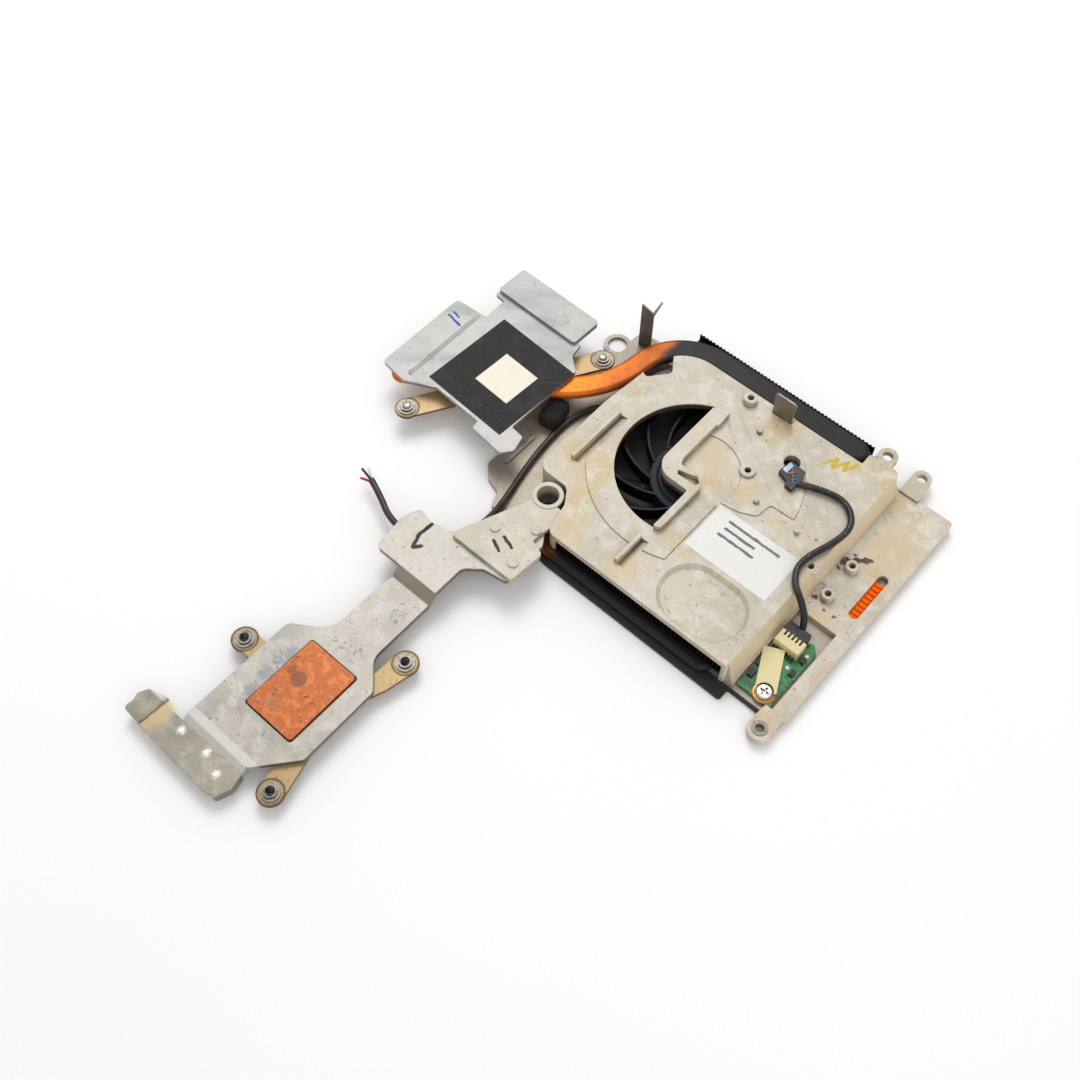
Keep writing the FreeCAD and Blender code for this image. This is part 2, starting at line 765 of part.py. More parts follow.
def fan_cover():
    """Cast cover: top, walls, shelf, ear, tabs and bosses."""
    casing = plate(COVER_OUTLINE, FLOOR, 0.0)
    inner = Part.Face(outline(COVER_OUTLINE, FLOOR - 1.0).makeOffset2D(-WALL_T))
    casing = casing.cut(inner.extrude(V(0, 0, HOUSING_H - COVER_T + 1.0)))
    outlets = [
        box(-29.0, REAR_STEP_X - 0.6, COVER_REAR - 10.0, COVER_REAR + 1.0, FLOOR - 1.0, -COVER_T),
        box(SIDE_FINS[0] - 0.3, COVER_RIGHT - WALL_T, COVER_FRONT - 1.0, COVER_FRONT + WALL_T + 0.4,
            FLOOR - 1.0, -COVER_T),
        box(-22.5, SIDE_FINS[0], CPU_PIPE_Y - PIPE_W, CPU_PIPE_Y + PIPE_W / 2.0 + PIPE_GAP,
            FLOOR - 1.0, CPU_PIPE_TOP + PIPE_GAP),
    ]
    for outlet in outlets:
        casing = casing.cut(outlet)
    slope = side_section([(COVER_RIGHT - 0.5, 0.0), (COVER_RIGHT, 0.0), (WALL_FOOT_X, SHELF_TOP),
                          (COVER_RIGHT - 0.5, SHELF_TOP)], COVER_FRONT + 1.0, REAR_STEP_Y - 2.0)
    corner = disc(CORNER_BOSS[0], CORNER_BOSS[1], CORNER_BOSS_R, FLOOR, CORNER_BOSS_TOP)
    shapes = [casing, slope, shelf(), corner, plate(EAR_OUTLINE, EAR_BOTTOM, EAR_TOP)]
    shapes += [tab(name) for name in TABS]
    shapes += cover_relief()
    for x, y, foot, top, radius in BOSSES:
        shapes.append(disc(x, y, radius, foot, top))
    for x, y in POST_SPOTS:
        shapes.append(disc(x, y, POST_R, FLOOR, -COVER_T + 0.5))
    cover = joined(shapes)
    cuts = [inlet_opening(), oval_recess(), plate(CORNER_BITE, -BITE_DEPTH, 2.0)]
    cuts += cover_ramps()
    cuts.append(disc(WIRE_HOLE[0], WIRE_HOLE[1], WIRE_HOLE_R, -COVER_T - 1.0, 1.0))
    seat = CORNER_BOSS_TOP - COUNTERBORE_DEPTH
    cuts.append(disc(CORNER_BOSS[0], CORNER_BOSS[1], COUNTERBORE_R, seat, 1.0))
    cuts.append(disc(CORNER_BOSS[0], CORNER_BOSS[1], SCREW_HOLE_R, FLOOR - 1.0, 1.0))
    cuts += [tab_hole("upper", SCREW_HOLE_R), tab_hole("lower", SCREW_HOLE_R), tab_hole("front", INSERT_R)]
    for x, y, foot, top, radius in BOSSES:
        cuts.append(disc(x, y, BOSS_HOLE_R, foot - 1.0, top + 1.0))
    for x, y in RIVET_SPOTS:
        cuts.append(disc(x, y, RIVET_R + RIVET_GAP, EAR_BOTTOM - 1.0, EAR_TOP + 1.0))
    for x, y in POST_SPOTS:
        cuts.append(disc(x, y, CASE_SCREW_R + CASE_SCREW_GAP, FLOOR - 1.0, FLOOR + CASE_SCREW_LENGTH))
    notch = LEAD_R + LEAD_GAP
    cuts.append(box(COVER_LEFT - 1.0, COVER_LEFT + WALL_T + 1.6, BOARD_TAIL_Y - notch,
                    BOARD_TAIL_Y + notch, FLOOR - 1.0, FLOOR + 2.0 * notch))
    return cover.cut(cuts[0].multiFuse(cuts[1:])).removeSplitter()


def lower_inlets():
    """Curved slots in the base plate under the blades."""
    slots = []
    inner, outer = LOWER_INLET_R
    for i in range(LOWER_INLET_COUNT):
        sector = Part.makeCylinder(outer, FLOOR_T + 2.0, V(0, 0, FLOOR_BOTTOM - 1.0), UP, LOWER_INLET_SPAN)
        sector = sector.cut(disc(0, 0, inner, FLOOR_BOTTOM - 1.0, FLOOR + 1.0))
        sector.rotate(V(0, 0, 0), UP, i * 360.0 / LOWER_INLET_COUNT - 150.0)
        slots.append(sector)
    return slots


def base_plate():
    """Floor of the housing with the flange, front ledge and ring ear."""
    body = plate(BASE_OUTLINE, FLOOR_BOTTOM, FLOOR)
    body = body.fuse(disc(RING_EAR[0], RING_EAR[1], RING_EAR_R, FLOOR_BOTTOM, FLOOR))
    x, y0, y1 = FLANGE_RIB
    body = body.fuse(box(x - RIB_W - 2.0, x - 2.0, y0, y1, FLOOR_BOTTOM, FLOOR + FLANGE_RIB_H))
    cuts = lower_inlets()
    cuts.append(disc(RING_EAR[0], RING_EAR[1], RING_HOLE_R, FLOOR_BOTTOM - 1.0, FLOOR + 1.0))
    cuts.append(disc(CORNER_BOSS[0], CORNER_BOSS[1], SCREW_HOLE_R, FLOOR_BOTTOM - 1.0, FLOOR + 1.0))
    cuts.append(disc(BOARD_SCREW[0], BOARD_SCREW[1], BOARD_SCREW_R, FLOOR_BOTTOM - 1.0, FLOOR + 1.0))
    for px, py in POST_SPOTS:
        cuts.append(case_screw_shape(px, py, CASE_SCREW_GAP))
    return body.cut(cuts[0].multiFuse(cuts[1:])).removeSplitter()


def case_screw_shape(x, y, gap):
    """Countersunk screw from below, grown by a gap for its hole."""
    head = Part.makeCone(CASE_SCREW_HEAD_R + gap, CASE_SCREW_R + gap, 1.0, V(x, y, FLOOR_BOTTOM))
    shank = disc(x, y, CASE_SCREW_R + gap, FLOOR_BOTTOM + 1.0, FLOOR + CASE_SCREW_LENGTH - 0.6)
    return head.fuse(shank)


def base_screws():
    """The countersunk screws under the base plate."""
    screws = []
    for x, y in POST_SPOTS:
        cross = box(x - 1.0, x + 1.0, y - 0.2, y + 0.2, FLOOR_BOTTOM, FLOOR_BOTTOM + 0.5)
        cross = cross.fuse(box(x - 0.2, x + 0.2, y - 1.0, y + 1.0, FLOOR_BOTTOM, FLOOR_BOTTOM + 0.5))
        screws.append(case_screw_shape(x, y, 0.0).cut(cross))
    return Part.makeCompound(screws)


def fin_stack(x0, x1, y0, y1, low, high):
    """Folded fins between two thin sheets."""
    block = box(x0, x1, y0, y1, low, high)
    count = int((x1 - x0 - FIN_T) / FIN_PITCH)
    pitch = (x1 - x0 - FIN_T) / count
    channels = []
    for i in range(count):
        left = x0 + FIN_T + i * pitch
        channels.append(box(left, left + pitch - FIN_T, y0 - 1.0, y1 + 1.0,
                            low + FIN_SHEET, high - FIN_SHEET))
    return block.cut(Part.makeCompound(channels)), count, pitch


def rear_fins():
    """Rear stack, with toothed fin ends standing beside the heat pipe."""
    x0, x1, y0, y1 = REAR_FINS
    stack, count, pitch = fin_stack(x0, x1, y0, y1, FLOOR, GPU_PIPE_BOTTOM)
    root, valley, crest = REAR_FIN_TEETH
    lip = box(x0, x1, root, crest, FLOOR, GPU_PLATE_BOTTOM - TOOTH_DROP)
    gaps = []
    for i in range(count):
        left = x0 + FIN_T + i * pitch + TOOTH_SIDE
        gaps.append(box(left, left + pitch * TOOTH_SHARE, valley, crest + 1.0, FLOOR + FIN_SHEET, 0.0))
    return stack.fuse(lip.cut(Part.makeCompound(gaps)))


def side_fins():
    """Side stack between the processor's heat pipe and the cover."""
    x0, x1, y0, y1 = SIDE_FINS
    stack, _, _ = fin_stack(x0, x1, y0, y1, CPU_PIPE_TOP, -COVER_T)
    return stack


def gpu_heat_pipe():
    """Pipe from the graphics plate round the cover's corner to the rear fins."""
    level = GPU_PLATE_BOTTOM - PIPE_T / 2.0
    points = [V(GPU_PIPE_START, GPU_PIPE_Y, level)]
    points += [V(x, y, level) for x, y, _ in GPU_PIPE_CORNERS]
    points.append(V(GPU_PIPE_END[0], GPU_PIPE_END[1], level))
    path = bend_path(points, [c[2] for c in GPU_PIPE_CORNERS])
    tube = flat_tube(path, points[0], points[1] - points[0])
    tips = [flat_tip(points[0], points[0] - points[1]), flat_tip(points[-1], points[-1] - points[-2])]
    return joined([tube] + tips)


def cpu_heat_pipe():
    """Pipe from under the long plate to the side fins."""
    level = FLOOR + PIPE_T / 2.0
    points = [V(CPU_PIPE_END, CPU_PIPE_Y, level), V(CPU_PIPE_X, CPU_PIPE_Y, level),
              V(CPU_PIPE_X, CPU_PIPE_START + PIPE_W / 2.0, level)]
    path = bend_path(points, [CPU_PIPE_BEND])
    tube = flat_tube(path, points[0], points[1] - points[0])
    tips = [flat_tip(points[0], points[0] - points[1]), flat_tip(points[-1], points[-1] - points[-2])]
    return joined([tube] + tips)


def cpu_plate():
    """Long casting: low plate, sloping step and raised part with its tongue."""
    low = plate(CPU_OUTLINE, CPU_PLATE_BOTTOM, CPU_PLATE_TOP)
    high = plate(RAISED_OUTLINE, EAR_BOTTOM - PLATE_T, EAR_BOTTOM)
    foot = STEP_Y - STEP_RUN
    step = bar_section([(STEP_Y, EAR_BOTTOM), (foot, CPU_PLATE_TOP), (foot, CPU_PLATE_BOTTOM),
                        (STEP_Y, EAR_BOTTOM - PLATE_T)], STEP_LEFT, STEP_RIGHT)
    body = joined([low, high, step])
    half_w = SLUG[0] / 2.0 + SLUG_GAP
    half_l = SLUG[1] / 2.0 + SLUG_GAP
    window = plate([(SLUG_X - half_w, SLUG_Y - half_l, SLUG_R), (SLUG_X + half_w, SLUG_Y - half_l, SLUG_R),
                    (SLUG_X + half_w, SLUG_Y + half_l, SLUG_R), (SLUG_X - half_w, SLUG_Y + half_l, SLUG_R)],
                   CPU_PLATE_BOTTOM - 1.0, CPU_PLATE_TOP + 1.0)
    body = body.cut(window)
    for x, y in RIVET_SPOTS:
        body = body.cut(disc(x, y, RIVET_R + RIVET_GAP, EAR_BOTTOM - PLATE_T - 1.0, EAR_BOTTOM + 1.0))
    return body


def ear_rivets():
    """Pins that rivet the ear to the long plate's tongue."""
    rivets = []
    for x, y in RIVET_SPOTS:
        pin = disc(x, y, RIVET_R, EAR_BOTTOM - PLATE_T, EAR_TOP)
        top = disc(x, y, RIVET_HEAD_R, EAR_TOP, EAR_TOP + RIVET_HEAD_H)
        under = disc(x, y, RIVET_HEAD_R, EAR_BOTTOM - PLATE_T - RIVET_HEAD_H, EAR_BOTTOM - PLATE_T)
        rivets.append(pin.fuse(top).fuse(under).removeSplitter())
    return Part.makeCompound(rivets)


def cpu_slug():
    """Copper block on the heat pipe, standing proud of the plate."""
    half_w = SLUG[0] / 2.0
    half_l = SLUG[1] / 2.0
    return plate([(SLUG_X - half_w, SLUG_Y - half_l, SLUG_R), (SLUG_X + half_w, SLUG_Y - half_l, SLUG_R),
                  (SLUG_X + half_w, SLUG_Y + half_l, SLUG_R), (SLUG_X - half_w, SLUG_Y + half_l, SLUG_R)],
                 CPU_PIPE_TOP, SLUG_TOP)


def cpu_spring():
    """Three-armed leaf under the plate; its crossbar passes below the heat pipe."""
    top = CPU_SPRING_TOP
    low = top - CPU_SPRING_T
    leaf = plate(CPU_LEAF, low, top)
    drop = CPU_PIPE_TOP - PIPE_T - top
    y = CPU_SCREWS["a"][1]
    x_out, x_low, x_rise, x_in = CROSSBAR_DROP_X
    tip = CPU_SCREWS["a"][0]
    upper = [(tip, top), (x_out, top), (x_low, top + drop), (x_rise, top + drop), (x_in, top)]
    lower = [(x, z - CPU_SPRING_T) for x, z in reversed(upper)]
    bar = side_section(upper + lower, y - CROSSBAR_W / 2.0, y + CROSSBAR_W / 2.0)
    shapes = [leaf, bar]
    for x, sy in CPU_SCREWS.values():
        shapes.append(disc(x, sy, CPU_ARM_END_R, low, top))
    body = joined(shapes)
    for x, sy in CPU_SCREWS.values():
        body = body.cut(disc(x, sy, SCREW_SHANK_R + SCREW_CLEARANCE, low - 1.0, top + 1.0))
    return body


def gpu_spring():
    """Straight spring strip across the heat pipe, under the graphics plate."""
    top = GPU_PIPE_BOTTOM
    low = top - GPU_SPRING_T
    shapes = [slab_between(GPU_SCREWS["a"], GPU_SCREWS["b"], GPU_SPRING_W, low, top)]
    for x, y in GPU_SCREWS.values():
        shapes.append(disc(x, y, GPU_ARM_END_R, low, top))
    body = joined(shapes)
    for x, y in GPU_SCREWS.values():
        body = body.cut(disc(x, y, SCREW_SHANK_R + SCREW_CLEARANCE, low - 1.0, top + 1.0))
    return body


def screw_collars(spots, seat):
    """Collars that guide the captive screws on the spring's arms."""
    return Part.makeCompound([ring(x, y, COLLAR_R, SCREW_SHANK_R + SCREW_CLEARANCE, seat, seat + COLLAR_H)
                              for x, y in spots.values()])


def cross_recess(spot, sizes, low, high):
    """Plus-shaped cutter of a screw's drive, sized (length, width)."""
    x, y = spot
    long_half, short_half = sizes[0] / 2.0, sizes[1] / 2.0
    across = box(x - long_half, x + long_half, y - short_half, y + short_half, low, high)
    along = box(x - short_half, x + short_half, y - long_half, y + long_half, low, high)
    return across.fuse(along)


def captive_screw(spot, seat, thickness):
    """Screw with its head under the arm and a keeper above the collar."""
    x, y = spot
    under = seat - thickness - END_PLAY
    base = under - SCREW_HEAD_H
    head = disc(x, y, SCREW_HEAD_R, base, under)
    head = head.makeChamfer(SCREW_BEVEL, [head.Edges[2]])
    above_collar = seat + COLLAR_H + END_PLAY
    tip = above_collar + SCREW_REACH
    shank = disc(x, y, SCREW_SHANK_R, under, tip - SCREW_BEVEL)
    point = Part.makeCone(SCREW_SHANK_R, SCREW_SHANK_R - SCREW_BEVEL, SCREW_BEVEL, V(x, y, tip - SCREW_BEVEL))
    keeper = disc(x, y, KEEPER_R, above_collar, above_collar + KEEPER_T)
    cross = cross_recess(spot, CROSS, base - 1.0, base + CROSS[2])
    return joined([head, shank, point, keeper]).cut(cross)


def end_flange():
    """Thin sheet beyond the plate's end: sloping joint, groove, bumps and a turned-down lip."""
    low = END_FLANGE_TOP - END_FLANGE_T
    body = plate(END_OUTLINE, low, END_FLANGE_TOP)
    y1 = PLATE_END
    y0 = PLATE_END - END_SLOPE_RUN
    joint = [(y1, CPU_PLATE_TOP), (y0, END_FLANGE_TOP), (y0, low), (y1, CPU_PLATE_BOTTOM - 0.2)]
    slope = bar_section(joint, END_X[0], END_X[1])
    lip = plate(END_LIP, low - END_LIP_H, END_FLANGE_TOP)
    shapes = [body, slope, lip]
    for x, y in END_BUMPS:
        shapes.append(Part.makeCone(END_BUMP_R, END_BUMP_R * 0.5, END_BUMP_H, V(x, y, END_FLANGE_TOP)))
    body = joined(shapes)
    half = END_GROOVE_W / 2.0
    groove = side_section([(END_GROOVE_X - half, END_FLANGE_TOP + 0.1),
                           (END_GROOVE_X, END_FLANGE_TOP - END_GROOVE_DEPTH),
                           (END_GROOVE_X + half, END_FLANGE_TOP + 0.1)], body.BoundBox.YMin - 1.0, y1 + 1.0)
    return body.cut(groove)


def turned_rect(centre, size, angle, low, high):
    """Upright block turned about its own centre."""
    block = box(-size[0] / 2.0, size[0] / 2.0, -size[1] / 2.0, size[1] / 2.0, low, high)
    block.rotate(V(0, 0, 0), UP, angle)
    block.translate(V(centre[0], centre[1], 0))
    return block


def gpu_plate():
    """Graphics plate with its side tab's crease and the raised far tab."""
    body = plate(GPU_OUTLINE, GPU_PLATE_BOTTOM, GPU_PLATE_TOP)
    far = plate(FAR_TAB, GPU_PLATE_TOP - 0.6, GPU_PLATE_TOP + FAR_TAB_RISE)
    crease = side_section([(CREASE_X - 0.8, GPU_PLATE_TOP), (CREASE_X, GPU_PLATE_TOP + CREASE_H),
                           (CREASE_X + 0.8, GPU_PLATE_TOP)], -30.0, 0.8)
    return joined([body, far, crease])


def thermal_pad_centre():
    """Centre of the pad, shifted along the turned frame."""
    angle = math.radians(GPU_TURN)
    return (PAD_CENTRE[0] + THERMAL_PAD_SHIFT * math.cos(angle),
            PAD_CENTRE[1] + THERMAL_PAD_SHIFT * math.sin(angle))


def gpu_pad_frame():
    """Thin black sheet round the thermal pad."""
    sheet = turned_rect(PAD_CENTRE, PAD_FRAME, GPU_TURN, GPU_PLATE_TOP, GPU_PLATE_TOP + PAD_FRAME_T)
    hole = THERMAL_PAD + 2.0 * PAD_GAP
    return sheet.cut(turned_rect(thermal_pad_centre(), (hole, hole), GPU_TURN,
                                 GPU_PLATE_TOP - 1.0, GPU_PLATE_TOP + 1.0))


def gpu_thermal_pad():
    """Square thermal pad."""
    return turned_rect(thermal_pad_centre(), (THERMAL_PAD, THERMAL_PAD), GPU_TURN,
                       GPU_PLATE_TOP, GPU_PLATE_TOP + THERMAL_PAD_T)


def polar(radius, degrees):
    """Plan point at a radius and angle."""
    return V(radius * math.cos(math.radians(degrees)), radius * math.sin(math.radians(degrees)), 0)


def blade():
    """One swept blade: the area between two arcs."""
    middle = [polar(r, a) for r, a in zip(BLADE_R, BLADE_TURN)]
    spine = Part.Arc(middle[0], middle[1], middle[2])
    sides = []
    for side in (0.5, -0.5):
        moved = []
        for p in middle:
            tangent = V(*spine.tangent(spine.parameter(p))[0])
            moved.append(p + V(-tangent.y, tangent.x, 0) * (side * BLADE_T))
        sides.append(moved)
    edges = [
        Part.Arc(sides[0][0], sides[0][1], sides[0][2]).toShape(),
        Part.makeLine(sides[0][2], sides[1][2]),
        Part.Arc(sides[1][2], sides[1][1], sides[1][0]).toShape(),
        Part.makeLine(sides[1][0], sides[0][0]),
    ]
    body = Part.Face(Part.Wire(edges)).extrude(V(0, 0, BLADE_TOP - BLADE_FOOT))
    body.translate(V(0, 0, BLADE_FOOT))
    return body


def impeller():
    """Stepped hub cup with the swept blades."""
    inner = HUB_R - HUB_WALL
    under = HUB_UNDER
    crown = disc(0, 0, HUB_R - HUB_STEP_W, HUB_FOOT, HUB_TOP)
    crown = crown.makeFillet(HUB_ROUND, [crown.Edges[0]])
    skirt = disc(0, 0, HUB_R, HUB_FOOT, HUB_TOP - HUB_STEP_H)
    skirt = skirt.makeFillet(HUB_STEP_H / 2.0, [skirt.Edges[0]])
    cup = skirt.fuse(crown).cut(disc(0, 0, inner, HUB_FOOT - 1.0, under))
    boss = disc(0, 0, SHAFT_BOSS_R, under - SHAFT_BOSS_H, under)
    blades = []
    for i in range(BLADE_COUNT):
        one = blade()
        one.rotate(V(0, 0, 0), UP, i * 360.0 / BLADE_COUNT)
        blades.append(one.cut(disc(0, 0, inner + HUB_WALL / 2.0, BLADE_FOOT - 1.0, BLADE_TOP + 1.0)))
    body = cup.multiFuse([boss] + blades).removeSplitter()
    return body.cut(disc(0, 0, SHAFT_R, under - SHAFT_BOSS_H - 1.0, under))


def magnet_ring():
    """Ring magnet inside the hub."""
    outer = HUB_R - HUB_WALL
    return ring(0, 0, outer, outer - MAGNET_T, HUB_UNDER - MAGNET_H, HUB_UNDER)


def rotor_shaft():
    """Shaft held by the hub's boss."""
    return disc(0, 0, SHAFT_R, FLOOR + SHAFT_FOOT_GAP, HUB_UNDER)


def motor_bearing():
    """Sleeve bearing standing on the base plate."""
    return ring(0, 0, BEARING_R, SHAFT_R + SHAFT_GAP, FLOOR, BEARING_TOP)


def stator_reach():
    """Outer radius of the stator inside the magnet."""
    return HUB_R - HUB_WALL - MAGNET_T - ROTOR_GAP


def stator_core():
    """Laminated star of poles on the bearing."""
    low, high = STATOR_Z
    outer = stator_reach()
    shoes = ring(0, 0, outer, outer - POLE_SHOE_T, low, high)
    gap = POLE_W * 0.6
    arms = []
    for i in range(STATOR_POLES):
        turn = i * 360.0 / STATOR_POLES
        arm = box(BEARING_R + 0.6, outer - POLE_SHOE_T / 2.0, -POLE_W / 2.0, POLE_W / 2.0, low, high)
        arm.rotate(V(0, 0, 0), UP, turn)
        arms.append(arm)
        slot = box(0, outer + 1.0, -gap / 2.0, gap / 2.0, low - 1.0, high + 1.0)
        slot.rotate(V(0, 0, 0), UP, turn + 180.0 / STATOR_POLES)
        shoes = shoes.cut(slot)
    hub = disc(0, 0, BEARING_R + 1.2, low, high)
    body = hub.multiFuse([shoes] + arms).removeSplitter()
    return body.cut(disc(0, 0, BEARING_R, low - 1.0, high + 1.0))


def stator_windings():
    """Coils round the poles."""
    low, high = STATOR_Z
    inner = BEARING_R + 1.5
    outer = stator_reach() - POLE_SHOE_T - 0.2
    coils = []
    for i in range(STATOR_POLES):
        coil = box(inner, outer, -POLE_W / 2.0 - COIL_T, POLE_W / 2.0 + COIL_T, low - COIL_T, high + COIL_T)
        coil = coil.cut(box(inner - 1.0, outer + 1.0, -POLE_W / 2.0, POLE_W / 2.0, low, high))
        coil.rotate(V(0, 0, 0), UP, i * 360.0 / STATOR_POLES)
        coils.append(coil)
    return Part.makeCompound(coils)


def motor_board():
    """Ring board under the coils, with a tail to the lead's notch."""
    top = FLOOR + MOTOR_BOARD_T
    body = disc(0, 0, MOTOR_BOARD_R, FLOOR, top)
    tail = plate([(BOARD_TAIL_END, BOARD_TAIL_Y - BOARD_TAIL_W / 2.0, 0.5),
                  (-22.0, BOARD_TAIL_Y - BOARD_TAIL_W / 2.0, 3.0), (-4.0, -4.0, 0.0), (-4.0, 5.0, 0.0),
                  (-22.0, BOARD_TAIL_Y + BOARD_TAIL_W / 2.0, 3.0),
                  (BOARD_TAIL_END, BOARD_TAIL_Y + BOARD_TAIL_W / 2.0, 0.5)], FLOOR, top)
    body = joined([body, tail])
    return body.cut(disc(0, 0, BEARING_R + 0.05, FLOOR - 1.0, top + 1.0))


def control_board():
    """Small circuit board on the base plate in the shelf's recess."""
    body = plate(BOARD_OUTLINE, FLOOR, BOARD_TOP)
    return body.cut(disc(BOARD_SCREW[0], BOARD_SCREW[1], BOARD_HOLE_R, FLOOR - 1.0, BOARD_TOP + 1.0))


def board_socket():
    """Socket with a row of pin slots in its top and an open front."""
    x0, x1, y0, y1 = SOCKET
    top = BOARD_TOP + SOCKET_H
    body = box(x0, x1, y0, y1, BOARD_TOP, top)
    body = body.cut(box(x0 + 0.6, x1 - 0.6, y1 - 2.4, y1 + 1.0, BOARD_TOP + 0.6, top - 0.6))
    slots = 5
    pitch = (x1 - x0 - 1.6) / slots
    for i in range(slots):
        left = x0 + 0.8 + (i + 0.25) * pitch
        body = body.cut(box(left, left + pitch * 0.5, y1 - 1.6, y1 + 1.0, top - 0.6, top + 1.0))
    return body


def board_plug():
    """Dark plug seated in the socket's mouth, with a hole for the lead."""
    x0, x1, y0, y1 = PLUG
    low = BOARD_TOP
    body = box(x0, x1, y0, y1, low, low + PLUG_H)
    tongue = box(x0 + 0.6, x1 - 0.6, y0 - 1.8, y0, low + 0.8, low + PLUG_H - 0.2)
    return body.fuse(tongue).removeSplitter()


def board_chips():
    """Small components on the board."""
    chips = []
    for x, y, width, length, height in BOARD_CHIPS:
        chips.append(box(x, x + width, y, y + length, BOARD_TOP, BOARD_TOP + height))
    return Part.makeCompound(chips)


def board_tag():
    """Stiff tag on a foot, with its end cut out round the board's screw."""
    low = BOARD_TOP + TAG_LIFT
    top = low + TAG_T
    sheet = turned_rect(TAG_CENTRE, TAG_SIZE, TAG_TURN, low, top)
    foot_size = (TAG_SIZE[0] * TAG_FOOT[0], TAG_SIZE[1] * TAG_FOOT[1])
    foot = turned_rect(TAG_CENTRE, foot_size, TAG_TURN, BOARD_TOP, low)
    x, y = BOARD_SCREW
    round_screw = disc(x, y, BOARD_SCREW_HEAD_R + TAG_SCREW_GAP, BOARD_TOP, top + 1.0)
    return sheet.fuse(foot).removeSplitter().cut(round_screw)


def board_screw():
    """Cross-head screw that holds the board."""
    x, y = BOARD_SCREW
    top = BOARD_TOP + BOARD_SCREW_HEAD_H
    head = disc(x, y, BOARD_SCREW_HEAD_R, BOARD_TOP, top)
    head = head.makeFillet(0.5, [head.Edges[0]])
    shank = disc(x, y, BOARD_SCREW_R, FLOOR_BOTTOM, BOARD_TOP)
    cross = cross_recess(BOARD_SCREW, CROSS, top - CROSS[2], top + 1.0)
    return head.fuse(shank).removeSplitter().cut(cross)


def cover_connector():
    """Socket and plug at the cover hole, with grooves between the contacts."""
    top = RELIEF_H + CONNECTOR_H
    body = plate(CONNECTOR_OUTLINE, RELIEF_H, top)
    for i in range(4):
        groove = box(-0.25, 0.25, -1.4, 1.4, top - CONNECTOR_GROOVE, top + 1.0)
        groove.rotate(V(0, 0, 0), UP, 60.0)
        groove.translate(V(21.9 + i * 0.75, 17.4 - i * 1.0, 0))
        body = body.cut(groove)
    return body


def connector_latch():
    """Pale latch on the connector."""
    top = RELIEF_H + CONNECTOR_H
    return plate(LATCH_OUTLINE, top, top + LATCH_H)


def fan_lead_wires():
    """Bare-ended wires at the cut end of the fan lead."""
    start = V(*FAN_LEAD[-1])
    before = V(*FAN_LEAD[-2])
    heading = (start - before).normalize()
    across = V(-heading.y, heading.x, 0)
    wires = []
    for i, end in enumerate(WIRE_ENDS):
        angle = math.radians(90.0 - i * 120.0)
        root = start + across * (WIRE_SPREAD * math.cos(angle)) + UP * (WIRE_SPREAD * math.sin(angle))
        tip = V(*end)
        wires.append(Part.makeCylinder(WIRE_R, root.distanceToPoint(tip), root, tip - root))
    return Part.makeCompound(wires)


def label():
    """Blank paper label on the cover."""
    x0, x1, y0, y1 = LABEL
    return box(x0, x1, y0, y1, 0.0, LABEL_T)


def ground_finger():
    """Upright spring finger on the base flange, with a small leaf at its top."""
    x0, x1 = FINGER_X
    foot = box(x0, x1, FINGER_Y, FINGER_Y + FINGER_FOOT, FLOOR, FLOOR + SHEET_T)
    blade_up = box(x0, x1, FINGER_Y, FINGER_Y + SHEET_T, FLOOR, FINGER_TOP - 2.0)
    crown = [(x0, FINGER_TOP - 2.0), (x0, FINGER_TOP + 0.6), (x1, FINGER_TOP - 0.6), (x1, FINGER_TOP - 2.0)]
    top = side_section(crown, FINGER_Y, FINGER_Y + SHEET_T)
    near, far = FINGER_Y, FINGER_Y + FINGER_LEAF
    upper = [(near, FINGER_TOP - 0.5), (far, FINGER_TOP + 1.2)]
    lower = [(far, FINGER_TOP + 0.6), (near, FINGER_TOP - 2.4)]
    leaf = bar_section(upper + lower, x1 - SHEET_T, x1)
    return joined([foot, blade_up, top, leaf])


def rear_tab():
    """Upright tab on the cover near the rear fins."""
    x0, x1 = REAR_TAB_X
    right = [(x0, 0.0), (x1, 0.0), (x1 + 0.3, REAR_TAB_H - 0.8), (x1 - 0.4, REAR_TAB_H)]
    left = [(x0 + 0.4, REAR_TAB_H), (x0 - 0.1, REAR_TAB_H - 0.8)]
    upright = side_section(right + left, REAR_TAB_Y, REAR_TAB_Y + SHEET_T)
    foot = box(x0, x1, REAR_TAB_Y, COVER_REAR - 0.2, 0.0, SHEET_T)
    return upright.fuse(foot).removeSplitter()


def tab_insert():
    """Threaded insert in the front tab."""
    (x, y), _, _, _, top, thickness = TABS["front"]
    return ring(x, y, INSERT_R, INSERT_HOLE_R, top - thickness, top + 0.3)


def slot_pad():
    """Ribbed pad on the base plate under the slot."""
    x0, x1, y0, y1 = SLOT
    m = SLOT_PAD_MARGIN
    top = FLOOR + SLOT_PAD_T
    end = y1 - SLOT_PAD_END_GAP
    body = box(x0 - m, x1 + m, y0 - m, end, FLOOR, top)
    pitch = (end - y0) / SLOT_PAD_RIBS
    ribs = []
    for i in range(SLOT_PAD_RIBS):
        y = y0 + (i + 0.25) * pitch
        ribs.append(box(x0 + RIB_INSET, x1 - RIB_INSET, y, y + pitch * 0.5, top, top + SLOT_PAD_RIB_H))
    return body.multiFuse(ribs).removeSplitter()


